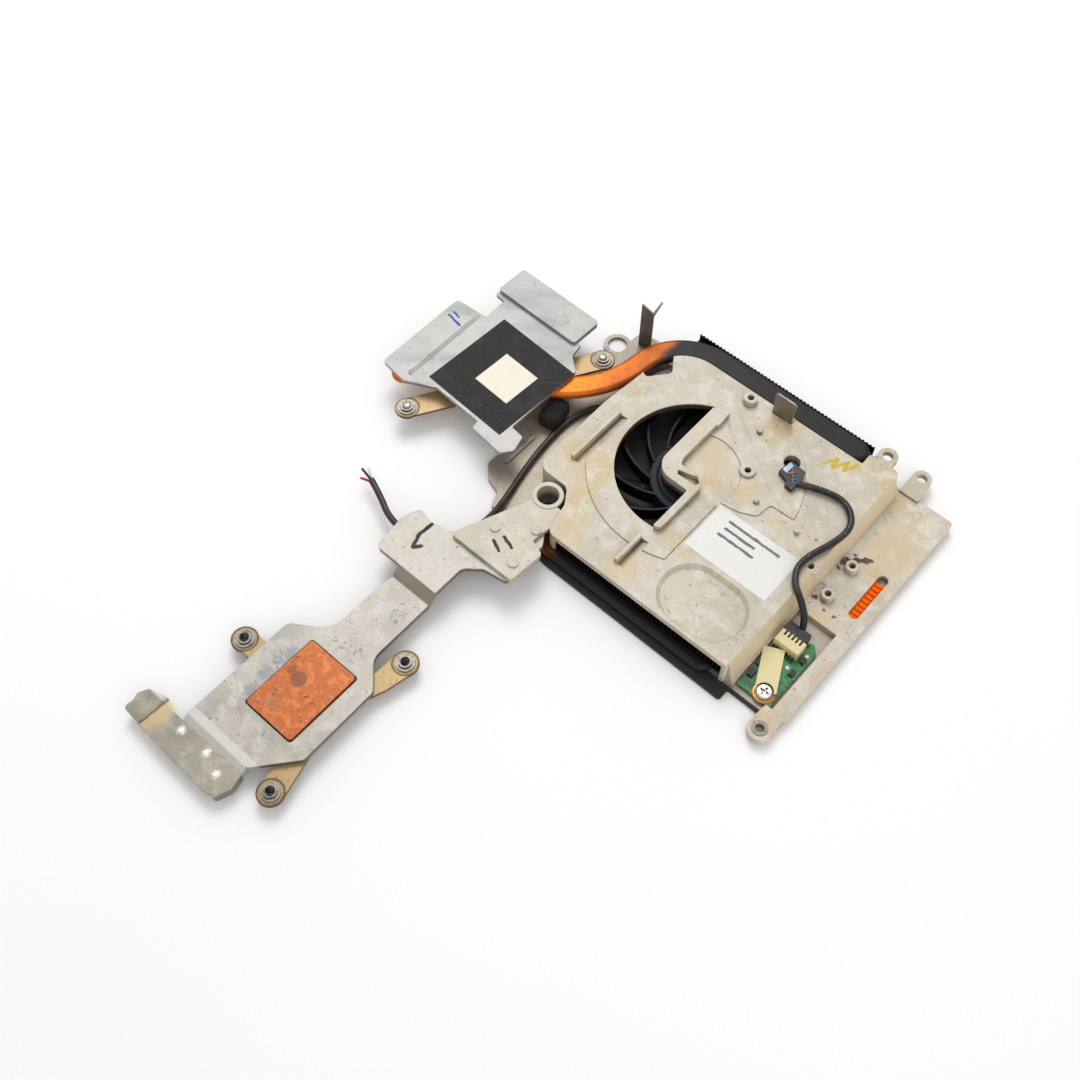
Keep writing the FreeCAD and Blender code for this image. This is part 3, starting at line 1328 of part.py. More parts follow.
NODES = {
    "fan_cover": fan_cover,
    "base_plate": base_plate,
    "base_screws": base_screws,
    "rear_fins": rear_fins,
    "side_fins": side_fins,
    "gpu_heat_pipe": gpu_heat_pipe,
    "cpu_heat_pipe": cpu_heat_pipe,
    "cpu_plate": cpu_plate,
    "ear_rivets": ear_rivets,
    "cpu_slug": cpu_slug,
    "cpu_spring": cpu_spring,
    "cpu_screw_collars": lambda: screw_collars(CPU_SCREWS, CPU_SPRING_TOP),
    "cpu_screw_a": lambda: captive_screw(CPU_SCREWS["a"], CPU_SPRING_TOP, CPU_SPRING_T),
    "cpu_screw_b": lambda: captive_screw(CPU_SCREWS["b"], CPU_SPRING_TOP, CPU_SPRING_T),
    "cpu_screw_c": lambda: captive_screw(CPU_SCREWS["c"], CPU_SPRING_TOP, CPU_SPRING_T),
    "end_flange": end_flange,
    "gpu_plate": gpu_plate,
    "gpu_pad_frame": gpu_pad_frame,
    "gpu_thermal_pad": gpu_thermal_pad,
    "gpu_spring": gpu_spring,
    "gpu_screw_collars": lambda: screw_collars(GPU_SCREWS, GPU_PIPE_BOTTOM),
    "gpu_screw_a": lambda: captive_screw(GPU_SCREWS["a"], GPU_PIPE_BOTTOM, GPU_SPRING_T),
    "gpu_screw_b": lambda: captive_screw(GPU_SCREWS["b"], GPU_PIPE_BOTTOM, GPU_SPRING_T),
    "impeller": impeller,
    "magnet_ring": magnet_ring,
    "rotor_shaft": rotor_shaft,
    "motor_bearing": motor_bearing,
    "stator_core": stator_core,
    "stator_windings": stator_windings,
    "motor_board": motor_board,
    "fan_lead": lambda: cord("fan_lead", FAN_LEAD, LEAD_R),
    "fan_lead_wires": fan_lead_wires,
    "lead_foam": lambda: plate(FOAM, FLOOR, FOAM_TOP),
    "control_board": control_board,
    "board_socket": board_socket,
    "board_plug": board_plug,
    "board_chips": board_chips,
    "board_tag": board_tag,
    "board_screw": board_screw,
    "cover_connector": cover_connector,
    "connector_latch": connector_latch,
    "board_lead": lambda: cord("board_lead", BOARD_LEAD, LEAD_R),
    "label": label,
    "ground_finger": ground_finger,
    "rear_tab": rear_tab,
    "tab_insert": tab_insert,
    "slot_pad": slot_pad,
}

os.makedirs("parts", exist_ok=True)
for node, make in NODES.items():
    shape = make()
    shape.translate(V(-SLUG_X, -SLUG_Y, -SLUG_TOP))
    if not shape.isValid():
        print("not valid:", node)
    print(node, len(shape.Solids), round(shape.Volume, 1), [round(v, 1) for v in (
        shape.BoundBox.XMin, shape.BoundBox.XMax, shape.BoundBox.YMin, shape.BoundBox.YMax,
        shape.BoundBox.ZMin, shape.BoundBox.ZMax)])
    shape.exportStep("parts/" + node + ".step")
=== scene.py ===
import bpy
import bmesh
import math
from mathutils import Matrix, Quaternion, Vector


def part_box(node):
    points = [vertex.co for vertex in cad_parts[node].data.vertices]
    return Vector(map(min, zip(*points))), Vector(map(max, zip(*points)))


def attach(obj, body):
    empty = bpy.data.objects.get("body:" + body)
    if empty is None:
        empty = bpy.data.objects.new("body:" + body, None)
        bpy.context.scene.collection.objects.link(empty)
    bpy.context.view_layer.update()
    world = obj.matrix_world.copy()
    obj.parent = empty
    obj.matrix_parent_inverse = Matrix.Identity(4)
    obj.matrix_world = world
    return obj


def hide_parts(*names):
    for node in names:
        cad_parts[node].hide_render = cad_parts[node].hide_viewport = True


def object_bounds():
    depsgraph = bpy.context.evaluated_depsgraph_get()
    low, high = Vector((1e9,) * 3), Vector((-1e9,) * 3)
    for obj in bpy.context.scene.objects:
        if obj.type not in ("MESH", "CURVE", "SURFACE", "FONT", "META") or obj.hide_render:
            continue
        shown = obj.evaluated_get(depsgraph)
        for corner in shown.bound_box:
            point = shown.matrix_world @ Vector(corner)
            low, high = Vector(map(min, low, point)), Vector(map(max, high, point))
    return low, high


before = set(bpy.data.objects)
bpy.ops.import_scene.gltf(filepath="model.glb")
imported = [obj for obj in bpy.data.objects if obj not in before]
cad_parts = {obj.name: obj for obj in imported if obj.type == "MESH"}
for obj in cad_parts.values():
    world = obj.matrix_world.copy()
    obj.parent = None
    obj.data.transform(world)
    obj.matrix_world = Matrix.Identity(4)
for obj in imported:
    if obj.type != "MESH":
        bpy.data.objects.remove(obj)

bl_info = {
    "name": "Laptop cooler",
    "version": (1, 0, 0),
    "blender": (4, 5, 0),
    "location": "3D View > Sidebar > Cooler",
    "description": "Dresses a packed laptop cooler: castings, pipes, fins, leads and small parts",
    "category": "Object",
}

MM = 0.001
# The fan's axis at the cover's face, in millimetres from the slug's contact face
FAN_X, FAN_Y, FAN_Z = 36.7, 123.0, 4.6

CAD_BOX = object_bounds()

# The photograph's camera: a 44 mm lens high above the front right corner
CAMERA_LENS = 44.1
CAMERA_SENSOR = 36.0
CAMERA_DISTANCE = 0.3725
CAMERA_AZIMUTH = 41.42
CAMERA_ELEVATION = 58.94
CAMERA_ROLL = 0.17
CAMERA_TARGET = (0.0187, 0.0752, 0.0046)

# Leads, as routed in the part, in millimetres from the fan's axis; the fan lead goes over the
# processor's pipe and under the ear, where the photograph hides it
FAN_LEAD = [
    (-29.8, 7.0, -8.9),
    (-39.0, 7.0, -8.9),
    (-43.4, -4.4, -8.9),
    (-43.2, -15.0, -8.9),
    (-41.6, -27.0, -8.9),
    (-38.2, -41.0, -8.8),
    (-35.8, -51.4, -5.3),
    (-38.4, -62.2, -5.4),
    (-47.4, -69.2, -5.5),
    (-58.0, -68.6, -6.0),
    (-65.6, -64.7, -6.0),
    (-71.3, -62.6, -6.0),
]
BOARD_LEAD = [
    (25.7, 15.0, 1.4),
    (30.4, 17.4, 1.4),
    (39.4, 19.4, 1.4),
    (45.4, 14.2, 1.4),
    (45.3, 7.0, 1.4),
    (41.0, -5.4, 1.4),
    (43.4, -11.9, 1.4),
    (48.6, -15.2, 0.7),
    (52.2, -16.8, -4.1),
    (52.7, -18.5, -7.1),
]
# Wires at the fan lead's cut end as (name, colour, points)
WIRES = [
    ("wire_black", "1b1b1c",
     [(-71.0, -62.9, -5.5), (-72.6, -62.6, -5.2), (-74.0, -62.4, -4.8), (-75.4, -62.2, -4.6)]),
    ("wire_red", "c2331f",
     [(-71.0, -63.2, -6.3), (-72.4, -63.3, -6.5), (-73.4, -63.5, -6.7), (-74.6, -63.9, -6.9)]),
    ("wire_white", "e9d8c8",
     [(-71.1, -62.1, -6.3), (-72.5, -61.5, -6.4), (-73.8, -60.9, -6.5), (-75.3, -60.1, -6.6)]),
]
WIRE_RADIUS = 0.4

# Small pieces
SCREWS = ["cpu_screw_a", "cpu_screw_b", "cpu_screw_c", "gpu_screw_a", "gpu_screw_b"]
# A screw's thread as (radius, height above the tip)
THREAD = [(1.1, -0.62), (1.33, -0.54), (1.12, -0.42), (1.3, -0.32), (1.08, -0.2), (1.16, -0.12),
          (0.8, 0.02)]
LEGS, LEG_STEP = 7, 1.08
SOLDER_DOTS = [(49.6, -37.2), (58.2, -23.2), (56.2, -29.4)]

# Directions in the shared frame
RIGHT, LEFT = (1.0, 0.0, 0.0), (-1.0, 0.0, 0.0)
REAR, FRONT = (0.0, 1.0, 0.0), (0.0, -1.0, 0.0)
DOWN = (0.0, 0.0, -1.0)
# Shapes of a spot: even to all sides, or a disc at all heights
EVEN, DISC = (1.0, 1.0, 1.0), (1.0, 1.0, 0.0)
UNTURNED = (0.0, 0.0, 0.0)

# Places on the part, in millimetres from the fan's axis
AXIS = (0.0, 0.0, 0.0)
HUB_RADIUS = 13.3
INLET_RADIUS = 23.7
FLOOR_SHADE_RADIUS = 27.0
BASE_SHADE_RADIUS = 33.0
BORE = (-26.5, -34.7, -6.4)
SLOPE_START = 42.0
REAR_PLATE_START = -50.0
FLANGE_STRIP_START = -149.8
STEP_FOOT, STEP_HEAD = -82.0, -79.0
# The same, measured towards the front
BASE_FRONT, PLATE_END = 43.9, 144.6
# Radii of the dark ring painted on the springs round each screw, painted shade of a groove
RING_OUTER, RING_INNER = 4.1, 3.5


def at(x, y, z):
    """Place in the shared frame of a point measured from the fan's axis, in millimetres."""
    return Vector(((x + FAN_X) * MM, (y + FAN_Y) * MM, (z + FAN_Z) * MM))


def middle_of(name):
    """Middle of a CAD node, measured from the fan's axis, in millimetres."""
    low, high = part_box(name)
    middle = (low + high) / 2.0
    return middle.x / MM - FAN_X, middle.y / MM - FAN_Y, middle.z / MM - FAN_Z


def tone(code):
    """Linear colour of a six-digit colour code."""
    parts = [int(code[i:i + 2], 16) / 255.0 for i in (0, 2, 4)]
    return tuple(p / 12.92 if p <= 0.04045 else ((p + 0.055) / 1.055) ** 2.4 for p in parts)


def full_colour(colour):
    """Opaque colour from a colour code or a colour property."""
    return (*(tone(colour) if isinstance(colour, str) else colour), 1.0)


class CoolerSizes(bpy.types.PropertyGroup):
    """Sizes that a user would change."""
    lead_width: bpy.props.FloatProperty(
        name="Lead width", description="Outer diameter of both leads", default=0.002, min=0.0005,
        unit="LENGTH")
    edge_round: bpy.props.FloatProperty(
        name="Edge rounding", description="How wide the castings' edges catch the light",
        default=0.0003, min=0.0, unit="LENGTH")
    # This setting also scales painted shade: in corners, along relief lines, in the bore, on the plate's
    # step face, in the springs' rings and in the plug's holes
    wear_and_shade: bpy.props.FloatProperty(
        name="Wear", description="Strength of scuffs, stains and bare edges", default=1.0, min=0.0,
        max=1.0, subtype="FACTOR")
    camera_distance: bpy.props.FloatProperty(
        name="Camera distance", description="From the camera to the point it looks at",
        default=CAMERA_DISTANCE, min=0.05, unit="LENGTH")


def colour_choice(name, description, code):
    return bpy.props.FloatVectorProperty(
        name=name, description=description, subtype="COLOR", size=3, min=0.0, max=1.0,
        default=tone(code))


class CoolerColours(bpy.types.PropertyGroup):
    """Colours that a user would change."""
    casting: colour_choice("Casting", "Cast cover of the fan", "cdc3b2")
    plate: colour_choice("Plates", "Long and short plates", "b5aea3")
    copper: colour_choice("Copper", "Heat pipes", "d8701f")
    paint: colour_choice("Black paint", "Fins and painted pipe ends", "1b1817")
    spring: colour_choice("Spring steel", "Leaf springs", "b2966a")
    board: colour_choice("Board", "Circuit boards", "17591f")
    pad: colour_choice("Slot pad", "Ribbed pad under the slot", "f76a00")
    floor: colour_choice("Floor", "Studio floor", "fbfbfb")


# Node groups: effects that several finishes share


def new_group(name, outputs, **inputs):
    """Empty shader group with named sockets; gives back its tree, inputs and outputs."""
    tree = bpy.data.node_groups.new(name, "ShaderNodeTree")
    for label, value in inputs.items():
        kind = "NodeSocketFloat" if isinstance(value, float) else "NodeSocketVector"
        tree.interface.new_socket(label, in_out="INPUT", socket_type=kind).default_value = value
    for label in outputs:
        kind = "NodeSocketVector" if label == "Normal" else "NodeSocketFloat"
        tree.interface.new_socket(label, in_out="OUTPUT", socket_type=kind)
    return tree, tree.nodes.new("NodeGroupInput").outputs, tree.nodes.new("NodeGroupOutput").inputs


def give(tree, node, inputs):
    """Gives each named socket of a node a value or a link."""
    for key, value in inputs.items():
        if isinstance(value, bpy.types.NodeSocket):
            tree.links.new(value, node.inputs[key])
        else:
            node.inputs[key].default_value = value


def put(tree, kind, inputs, **fields):
    """Adds a node, sets its fields and fills its sockets."""
    made = tree.nodes.new("ShaderNode" + kind)
    for field, value in fields.items():
        setattr(made, field, value)
    give(tree, made, inputs)
    return made


def maths(tree, operation, *values):
    """Math node over up to three values; gives back its result."""
    return put(tree, "Math", dict(enumerate(values)), operation=operation).outputs[0]


def vectors(tree, operation, *values):
    """Vector math node; gives back its vector, or the number that it works out."""
    made = put(tree, "VectorMath", dict(enumerate(values)), operation=operation)
    return made.outputs["Value" if operation in ("LENGTH", "DOT_PRODUCT") else "Vector"]


def stretched(tree, vector, factor):
    """Vector made longer or shorter by a factor."""
    return put(tree, "VectorMath", {0: vector, "Scale": factor}, operation="SCALE").outputs[0]


def ramp(tree, value, start, end, first=0.0, last=1.0):
    """Smooth step from first to last as value goes from start to end."""
    made = put(tree, "MapRange", {"Value": value, "From Min": start, "From Max": end, "To Min": first,
                                  "To Max": last}, interpolation_type="SMOOTHSTEP")
    return made.outputs["Result"]


def object_place(tree):
    return put(tree, "TexCoord", {}).outputs["Object"]


def blotches_group():
    """Ragged patches of any size, also drawn out into streaks."""
    tree, given, out = new_group("Blotches", ["Mask"], Size=1.0, Detail=4.0, Threshold=0.5, Softness=0.1,
                                 Stretch=EVEN, Turn=UNTURNED)
    turned = put(tree, "Mapping", {"Vector": object_place(tree), "Rotation": given["Turn"]})
    drawn = put(tree, "Mapping", {"Vector": turned.outputs[0], "Scale": given["Stretch"]})
    scale = maths(tree, "DIVIDE", 1.0 / MM, given["Size"])
    noise = put(tree, "TexNoise", {"Vector": drawn.outputs[0], "Scale": scale, "Detail": given["Detail"]})
    top = maths(tree, "ADD", given["Threshold"], given["Softness"])
    tree.links.new(ramp(tree, noise.outputs["Fac"], given["Threshold"], top), out["Mask"])


def spot_group():
    """Ragged spot round one place."""
    tree, given, out = new_group("Spot", ["Mask"], Place=AXIS, Reach=2.0, Softness=1.0, Ragged=1.0,
                                 Squeeze=EVEN)
    place = object_place(tree)
    noise = put(tree, "TexNoise", {"Vector": place, "Scale": 900.0, "Detail": 5.0})
    push = maths(tree, "MULTIPLY", maths(tree, "SUBTRACT", noise.outputs["Fac"], 0.5),
                 maths(tree, "MULTIPLY", given["Ragged"], 4.0))
    apart = vectors(tree, "SUBTRACT", place, given["Place"])
    apart = vectors(tree, "MULTIPLY", apart, given["Squeeze"])
    length = maths(tree, "MULTIPLY", vectors(tree, "LENGTH", apart), 1.0 / MM)
    far = maths(tree, "ADD", length, push)
    edge = maths(tree, "SUBTRACT", given["Reach"], given["Softness"])
    tree.links.new(ramp(tree, far, edge, given["Reach"], 1.0, 0.0), out["Mask"])


def stroke_group():
    """Stroke of a pen between two places."""
    tree, given, out = new_group("Pen stroke", ["Mask"], Start=AXIS, End=AXIS, Width=1.0)
    place = object_place(tree)
    noise = put(tree, "TexNoise", {"Vector": place, "Scale": 600.0, "Detail": 3.0})
    shake = vectors(tree, "SUBTRACT", noise.outputs["Color"], (0.5, 0.5, 0.5))
    spot = vectors(tree, "ADD", place, stretched(tree, shake, 0.8 * MM))
    run = vectors(tree, "SUBTRACT", given["End"], given["Start"])
    off = vectors(tree, "SUBTRACT", spot, given["Start"])
    along = maths(tree, "DIVIDE", vectors(tree, "DOT_PRODUCT", off, run),
                  vectors(tree, "DOT_PRODUCT", run, run))
    along = put(tree, "Clamp", {"Value": along}).outputs[0]
    gap = vectors(tree, "SUBTRACT", off, stretched(tree, run, along))
    far = maths(tree, "MULTIPLY", vectors(tree, "LENGTH", gap), 2.0 / MM)
    inner = maths(tree, "MULTIPLY", given["Width"], 0.8)
    tree.links.new(ramp(tree, far, inner, given["Width"], 1.0, 0.0), out["Mask"])


def edge_group():
    """Edge mask, which finishes paint as wear, as painted highlight on copper and as painted shade on the
    springs, and a normal that rounds the edges.
    """
    tree, given, out = new_group("Edges", ["Mask", "Normal"], Radius=0.0003, Patchy=0.5)
    bevel = put(tree, "Bevel", {"Radius": given["Radius"]}, samples=4)
    flat = put(tree, "NewGeometry", {}).outputs["Normal"]
    dot = vectors(tree, "DOT_PRODUCT", bevel.outputs[0], flat)
    worn = ramp(tree, maths(tree, "SUBTRACT", 1.0, dot), 0.01, 0.12)
    noise = put(tree, "TexNoise", {"Vector": object_place(tree), "Scale": 500.0, "Detail": 4.0})
    patches = ramp(tree, noise.outputs["Fac"], maths(tree, "SUBTRACT", given["Patchy"], 0.1),
                   maths(tree, "ADD", given["Patchy"], 0.1))
    tree.links.new(maths(tree, "MULTIPLY", worn, patches), out["Mask"])
    tree.links.new(bevel.outputs[0], out["Normal"])


def crevice_group():
    """Painted shade in inner corners, where ambient occlusion darkens them."""
    tree, given, out = new_group("Crevices", ["Mask"], Reach=0.0012, Start=0.25)
    shade = put(tree, "AmbientOcclusion", {"Distance": given["Reach"]}, samples=6, only_local=True)
    covered = maths(tree, "SUBTRACT", 1.0, shade.outputs["AO"])
    tree.links.new(ramp(tree, covered, given["Start"], 0.85), out["Mask"])


def facing_group():
    """Surfaces that face one way, and those that stand across it."""
    tree, given, out = new_group("Facing", ["Mask", "Across"], Direction=(0.0, 0.0, 1.0), Start=0.4)
    flat = put(tree, "NewGeometry", {}).outputs["Normal"]
    dot = vectors(tree, "DOT_PRODUCT", flat, given["Direction"])
    tree.links.new(ramp(tree, dot, given["Start"], 0.95), out["Mask"])
    tree.links.new(ramp(tree, maths(tree, "ABSOLUTE", dot), 0.3, 0.6, 1.0, 0.0), out["Across"])


def reach_group():
    """Everything beyond a line, along one direction, with a ragged border."""
    tree, given, out = new_group("Beyond line", ["Mask"], Direction=RIGHT, Line=0.0, Softness=1.0,
                                 Ragged=1.0)
    place = object_place(tree)
    noise = put(tree, "TexNoise", {"Vector": place, "Scale": 350.0, "Detail": 5.0})
    push = maths(tree, "MULTIPLY", maths(tree, "SUBTRACT", noise.outputs["Fac"], 0.5), given["Ragged"])
    along = maths(tree, "MULTIPLY", vectors(tree, "DOT_PRODUCT", place, given["Direction"]), 1.0 / MM)
    far = maths(tree, "ADD", along, push)
    end = maths(tree, "ADD", given["Line"], given["Softness"])
    tree.links.new(ramp(tree, far, given["Line"], end), out["Mask"])


GROUP_MAKERS = {
    "Blotches": blotches_group,
    "Spot": spot_group,
    "Pen stroke": stroke_group,
    "Edges": edge_group,
    "Crevices": crevice_group,
    "Facing": facing_group,
    "Beyond line": reach_group,
}
# Sockets of the Mix node for each kind of value: before, after and result
MIX_SOCKETS = {"RGBA": (6, 7, 2), "FLOAT": (2, 3, 0)}


class Finish:
    """A material in the making: colours, gloss and relief laid over each other on one shader."""

    def __init__(self, name, colour, rough, metal=0.0, specular=0.5):
        self.material = bpy.data.materials.new(name)
        self.material.use_nodes = True
        self.tree = self.material.node_tree
        self.shader = self.tree.nodes["Principled BSDF"]
        self.shader.inputs["Specular IOR Level"].default_value = specular
        self.colour = full_colour(colour)
        self.rough = rough
        self.metal = metal
        self.height = None
        self.normal = None

    def effect(self, group, output="Mask", **values):
        """Places one of the shared groups and gives back its output."""
        if group not in bpy.data.node_groups:
            GROUP_MAKERS[group]()
        made = self.tree.nodes.new("ShaderNodeGroup")
        made.node_tree = bpy.data.node_groups[group]
        give(self.tree, made, values)
        return made.outputs[output]

    def blotches(self, size, start, soft, detail=4.0, stretch=EVEN, turn=UNTURNED):
        """Ragged patches of a size in millimetres; the higher the start, the fewer they are."""
        return self.effect("Blotches", Size=size, Threshold=start, Softness=soft, Detail=detail,
                           Stretch=stretch, Turn=turn)

    def patches(self, colour, amount, size, **shape):
        """Paints blotches."""
        self.paint(self.blotches(size, **shape), colour, amount)

    def spot(self, place, reach, soft, ragged=1.0, shape=EVEN):
        """Spot round a place that is measured from the fan's axis."""
        return self.effect("Spot", Place=at(*place), Reach=reach, Softness=soft, Ragged=ragged,
                           Squeeze=shape)

    def beyond(self, direction, line, soft, ragged=1.0):
        """Everything beyond a line, which lies so far along the direction from the fan's axis."""
        line += sum(part * place for part, place in zip(direction, (FAN_X, FAN_Y, FAN_Z)))
        return self.effect("Beyond line", Direction=direction, Line=line, Softness=soft, Ragged=ragged)

    def both(self, first, second):
        """Two masks multiplied, or one made fainter."""
        return maths(self.tree, "MULTIPLY", first, second)

    def mix(self, kind, mask, before, after, amount):
        if amount != 1.0:
            mask = self.both(mask, amount)
        first, second, result = MIX_SOCKETS[kind]
        made = put(self.tree, "Mix", {0: mask, first: before, second: after}, data_type=kind)
        return made.outputs[result]

    def paint(self, mask, colour, amount=1.0):
        self.colour = self.mix("RGBA", mask, self.colour, full_colour(colour), amount)

    def gloss(self, mask, value, amount=1.0):
        self.rough = self.mix("FLOAT", mask, self.rough, value, amount)

    def shine(self, mask, value):
        self.metal = self.mix("FLOAT", mask, self.metal, value, 1.0)

    def lift(self, mask, millimetres):
        """Relief of so many millimetres where the mask is full."""
        before = 0.0 if self.height is None else self.height
        self.height = maths(self.tree, "MULTIPLY_ADD", mask, millimetres, before)

    def round_edges(self, radius, patchy=0.5):
        """Rounds the edges for the light and gives back the edges, which most finishes paint as wear; the
        copper paints them as a painted highlight and the springs as painted shade.
        """
        made = self.effect("Edges", "Normal", Radius=radius, Patchy=patchy)
        self.normal = made
        return made.node.outputs["Mask"]

    def done(self):
        """Puts everything on the shader and gives back the material."""
        normal = {} if self.normal is None else {"Normal": self.normal}
        if self.height is not None:
            relief = {"Height": self.height, "Distance": MM, "Strength": 1.0, **normal}
            normal = {"Normal": put(self.tree, "Bump", relief).outputs[0]}
        give(self.tree, self.shader, {"Base Color": self.colour, "Roughness": self.rough,
                                      "Metallic": self.metal, **normal})
        return self.material


def wear_and_shade():
    return bpy.context.scene.cooler_sizes.wear_and_shade


def colours():
    return bpy.context.scene.cooler_colours


def cast_finish(name, colour, tones, metal, rough, sides=0.5):
    """Cast metal with clouds, specks, chips, scratches and worn edges, and painted shade on side faces,
    in corners and along relief lines.
    """
    amount = wear_and_shade()
    # The fifth tone is the painted shade for side faces, corners and relief lines
    cloud, warm, dark, light, shade_tone = tones.split()
    made = Finish(name, colour, rough, metal)
    worn = made.round_edges(bpy.context.scene.cooler_sizes.edge_round, 0.42)
    made.patches(cloud, 0.8, 22.0, start=0.44, soft=0.2, detail=7.0)
    made.patches(warm, 0.75, 17.0, start=0.5, soft=0.16, detail=6.0, turn=(0.4, 0.0, 1.0))
    mottle = made.blotches(4.5, start=0.45, soft=0.25, detail=9.0)
    made.paint(mottle, light, 0.55)
    grain = made.blotches(0.5, start=0.45, soft=0.25, detail=3.0)
    made.paint(grain, dark, 0.2)
    specks = made.blotches(1.3, start=0.66, soft=0.06)
    made.paint(specks, dark, 0.6 * amount)
    chips = made.blotches(3.2, start=0.66, soft=0.03, detail=6.0, turn=(0.0, 1.0, 0.0))
    made.paint(chips, light, 0.35 * amount)
    for angle, code, much in ((0.6, light, 0.12), (2.2, dark, 0.15)):
        scratch = made.blotches(3.0, start=0.66, soft=0.03, stretch=(1.0, 0.07, 1.0),
                                turn=(0.0, 0.0, angle))
        made.paint(scratch, code, much * amount)
    # Painted shade: side faces darker by the sides amount, and inner corners darker
    made.paint(made.effect("Facing", "Across"), shade_tone, sides)
    made.paint(made.effect("Crevices", Reach=0.002, Start=0.18), shade_tone, 0.6 * amount)
    relief_shade = made.effect("Crevices", Reach=0.0006, Start=0.08)
    made.paint(worn, light, 0.6 * amount)
    # Painted shade along the relief lines
    made.paint(relief_shade, shade_tone, 0.9 * amount)
    made.gloss(mottle, rough + 0.12)
    made.gloss(worn, rough - 0.12)
    made.lift(grain, 0.008)
    made.lift(specks, -0.03)
    made.lift(mottle, 0.02)
    return made


# Paints a spot: real stains, and also painted shade in the bore and the plug's holes
def stain_and_shade(made, place, reach, code, amount=1.0, soft=None, ragged=0.6, shape=EVEN):
    """Painted spot that fades over most of its reach, if nothing else is said."""
    if soft is None:
        soft = reach * 0.6
    made.paint(made.spot(place, reach, soft, ragged, shape), code, amount * wear_and_shade())


def pen(made, points, width, code, amount=1.0, through=None):
    """Marker line through points, one stroke a run; a second mask breaks it up."""
    for start, end in zip(points, points[1:]):
        mask = made.effect("Pen stroke", Start=at(*start), End=at(*end), Width=width)
        if through is not None:
            mask = made.both(mask, through)
        made.paint(mask, code, amount)


# Dark stains on the cover as (place, reach, strength)
COVER_STAINS = [
    ((51.6, -6.2, -7.8), 1.5, 0.6),
    ((56.8, -8.6, -7.8), 0.8, 0.9),
    ((53.4, -8.6, -7.8), 0.6, 0.8),
    ((49.0, -9.2, -7.8), 0.6, 0.8),
    ((31.2, -26.8, -0.6), 1.4, 0.35),
    ((34.8, 4.4, 0.4), 0.7, 0.6),
    ((40.1, 3.8, 0.0), 0.8, 0.6),
    ((6.0, 23.0, 0.4), 1.3, 0.7),
    ((20.0, 2.6, 0.4), 1.3, 0.7),
    ((34.6, 2.0, 0.4), 1.0, 0.6),
]
# Dark smears on the cover as (points, width)
COVER_SMEARS = [
    ([(48.9, 5.8, -7.8), (48.7, 9.8, -7.8), (50.4, 11.4, -7.8), (54.2, 12.8, -7.8)], 2.4),
    ([(50.0, 9.6, -7.8), (51.4, 10.6, -7.8)], 1.8),
    ([(48.9, -6.6, -7.8), (48.5, -2.6, -7.8)], 2.6),
    ([(21.7, -39.2, -0.6), (22.4, -40.6, -0.6), (23.9, -41.3, -0.6)], 1.6),
]
# Pen strokes on the cover as (points, width, colour, strength)
COVER_PEN = [
    ([(26.4, 26.4, 0.0), (28.8, 30.6, 0.0), (29.4, 27.2, 0.0), (31.8, 31.8, 0.0), (32.4, 28.6, 0.0),
      (34.4, 32.6, 0.0)], 1.2, "c9a60c", 0.9),
    ([(-28.0, -56.2, -0.8), (-24.6, -57.8, -0.8)], 1.15, "0c0a0e", 1.0),
    ([(-26.6, -53.4, -0.8), (-22.6, -54.6, -0.8)], 1.15, "0c0a0e", 1.0),
]
# Warm patches on the cover as (place, reach)
COVER_TANS = [
    ((0.5, 8.0, 0.0), 8.0),
    ((15.7, 3.9, 0.0), 6.0),
    ((18.8, -15.8, 0.0), 7.0),
    ((-31.0, -18.0, 0.0), 7.0),
    ((5.8, -38.0, 0.0), 7.0),
    ((58.0, 20.0, -7.8), 12.0),
    ((54.0, -12.0, -7.8), 8.0),
]


def cover_finish():
    tones = "beb4a2 cbb488 75685a e8e3d8 58412a"
    made = cast_finish("cover_casting", colours().casting, tones, 0.05, 0.5, 0.25)
    for place, reach in COVER_TANS:
        stain_and_shade(made, place, reach, "cfb689", 0.6, soft=reach * 0.8, ragged=2.0)
    for place, reach, much in COVER_STAINS:
        stain_and_shade(made, place, reach, "463d33", much, ragged=0.4)
    crumbs = made.blotches(2.6, start=0.43, soft=0.1, detail=7.0)
    for points, width in COVER_SMEARS:
        pen(made, points, width, "3d3329", 0.95 * wear_and_shade(), crumbs)
    # Painted shade with grime on the inlet's inner wall, below the cover's face
    inside = made.spot(AXIS, INLET_RADIUS + 0.1, soft=0.1, ragged=0.0, shape=DISC)
    below = made.beyond(DOWN, 0.1, soft=0.1, ragged=0.0)
    made.paint(made.both(inside, below), "33291f", 0.9)
    # Painted light: the sloped right wall, which faces right, painted lighter and warmer
    lit_slope = made.effect("Facing", Direction=RIGHT, Start=0.3)
    right = made.beyond(RIGHT, SLOPE_START, soft=0.5)
    made.paint(made.both(lit_slope, right), "f8e2bc", 0.75)
    # Painted shade inside the corner boss's bore
    stain_and_shade(made, BORE, 4.8, "40372c", 0.85, soft=2.0, ragged=0.3)
    for stroke in COVER_PEN:
        pen(made, *stroke)
    return made


# Blue-grey smears on the long plate as (place, reach)
PLATE_SMEARS = [
    ((-46.5, -117.5, -5.2), 3.0),
    ((-47.0, -121.0, -5.2), 2.6),
    ((-47.6, -126.0, -5.2), 3.0),
    ((-46.4, -132.0, -5.2), 3.0),
]
# Pitted patches on the long plate as (place, reach)
PLATE_PITS = [
    ((-40.0, -106.0, -5.2), 4.0),
    ((-34.5, -106.0, -5.2), 5.0),
    ((-33.2, -90.0, -5.2), 4.0),
    ((-48.0, -143.6, -5.2), 3.4),
]
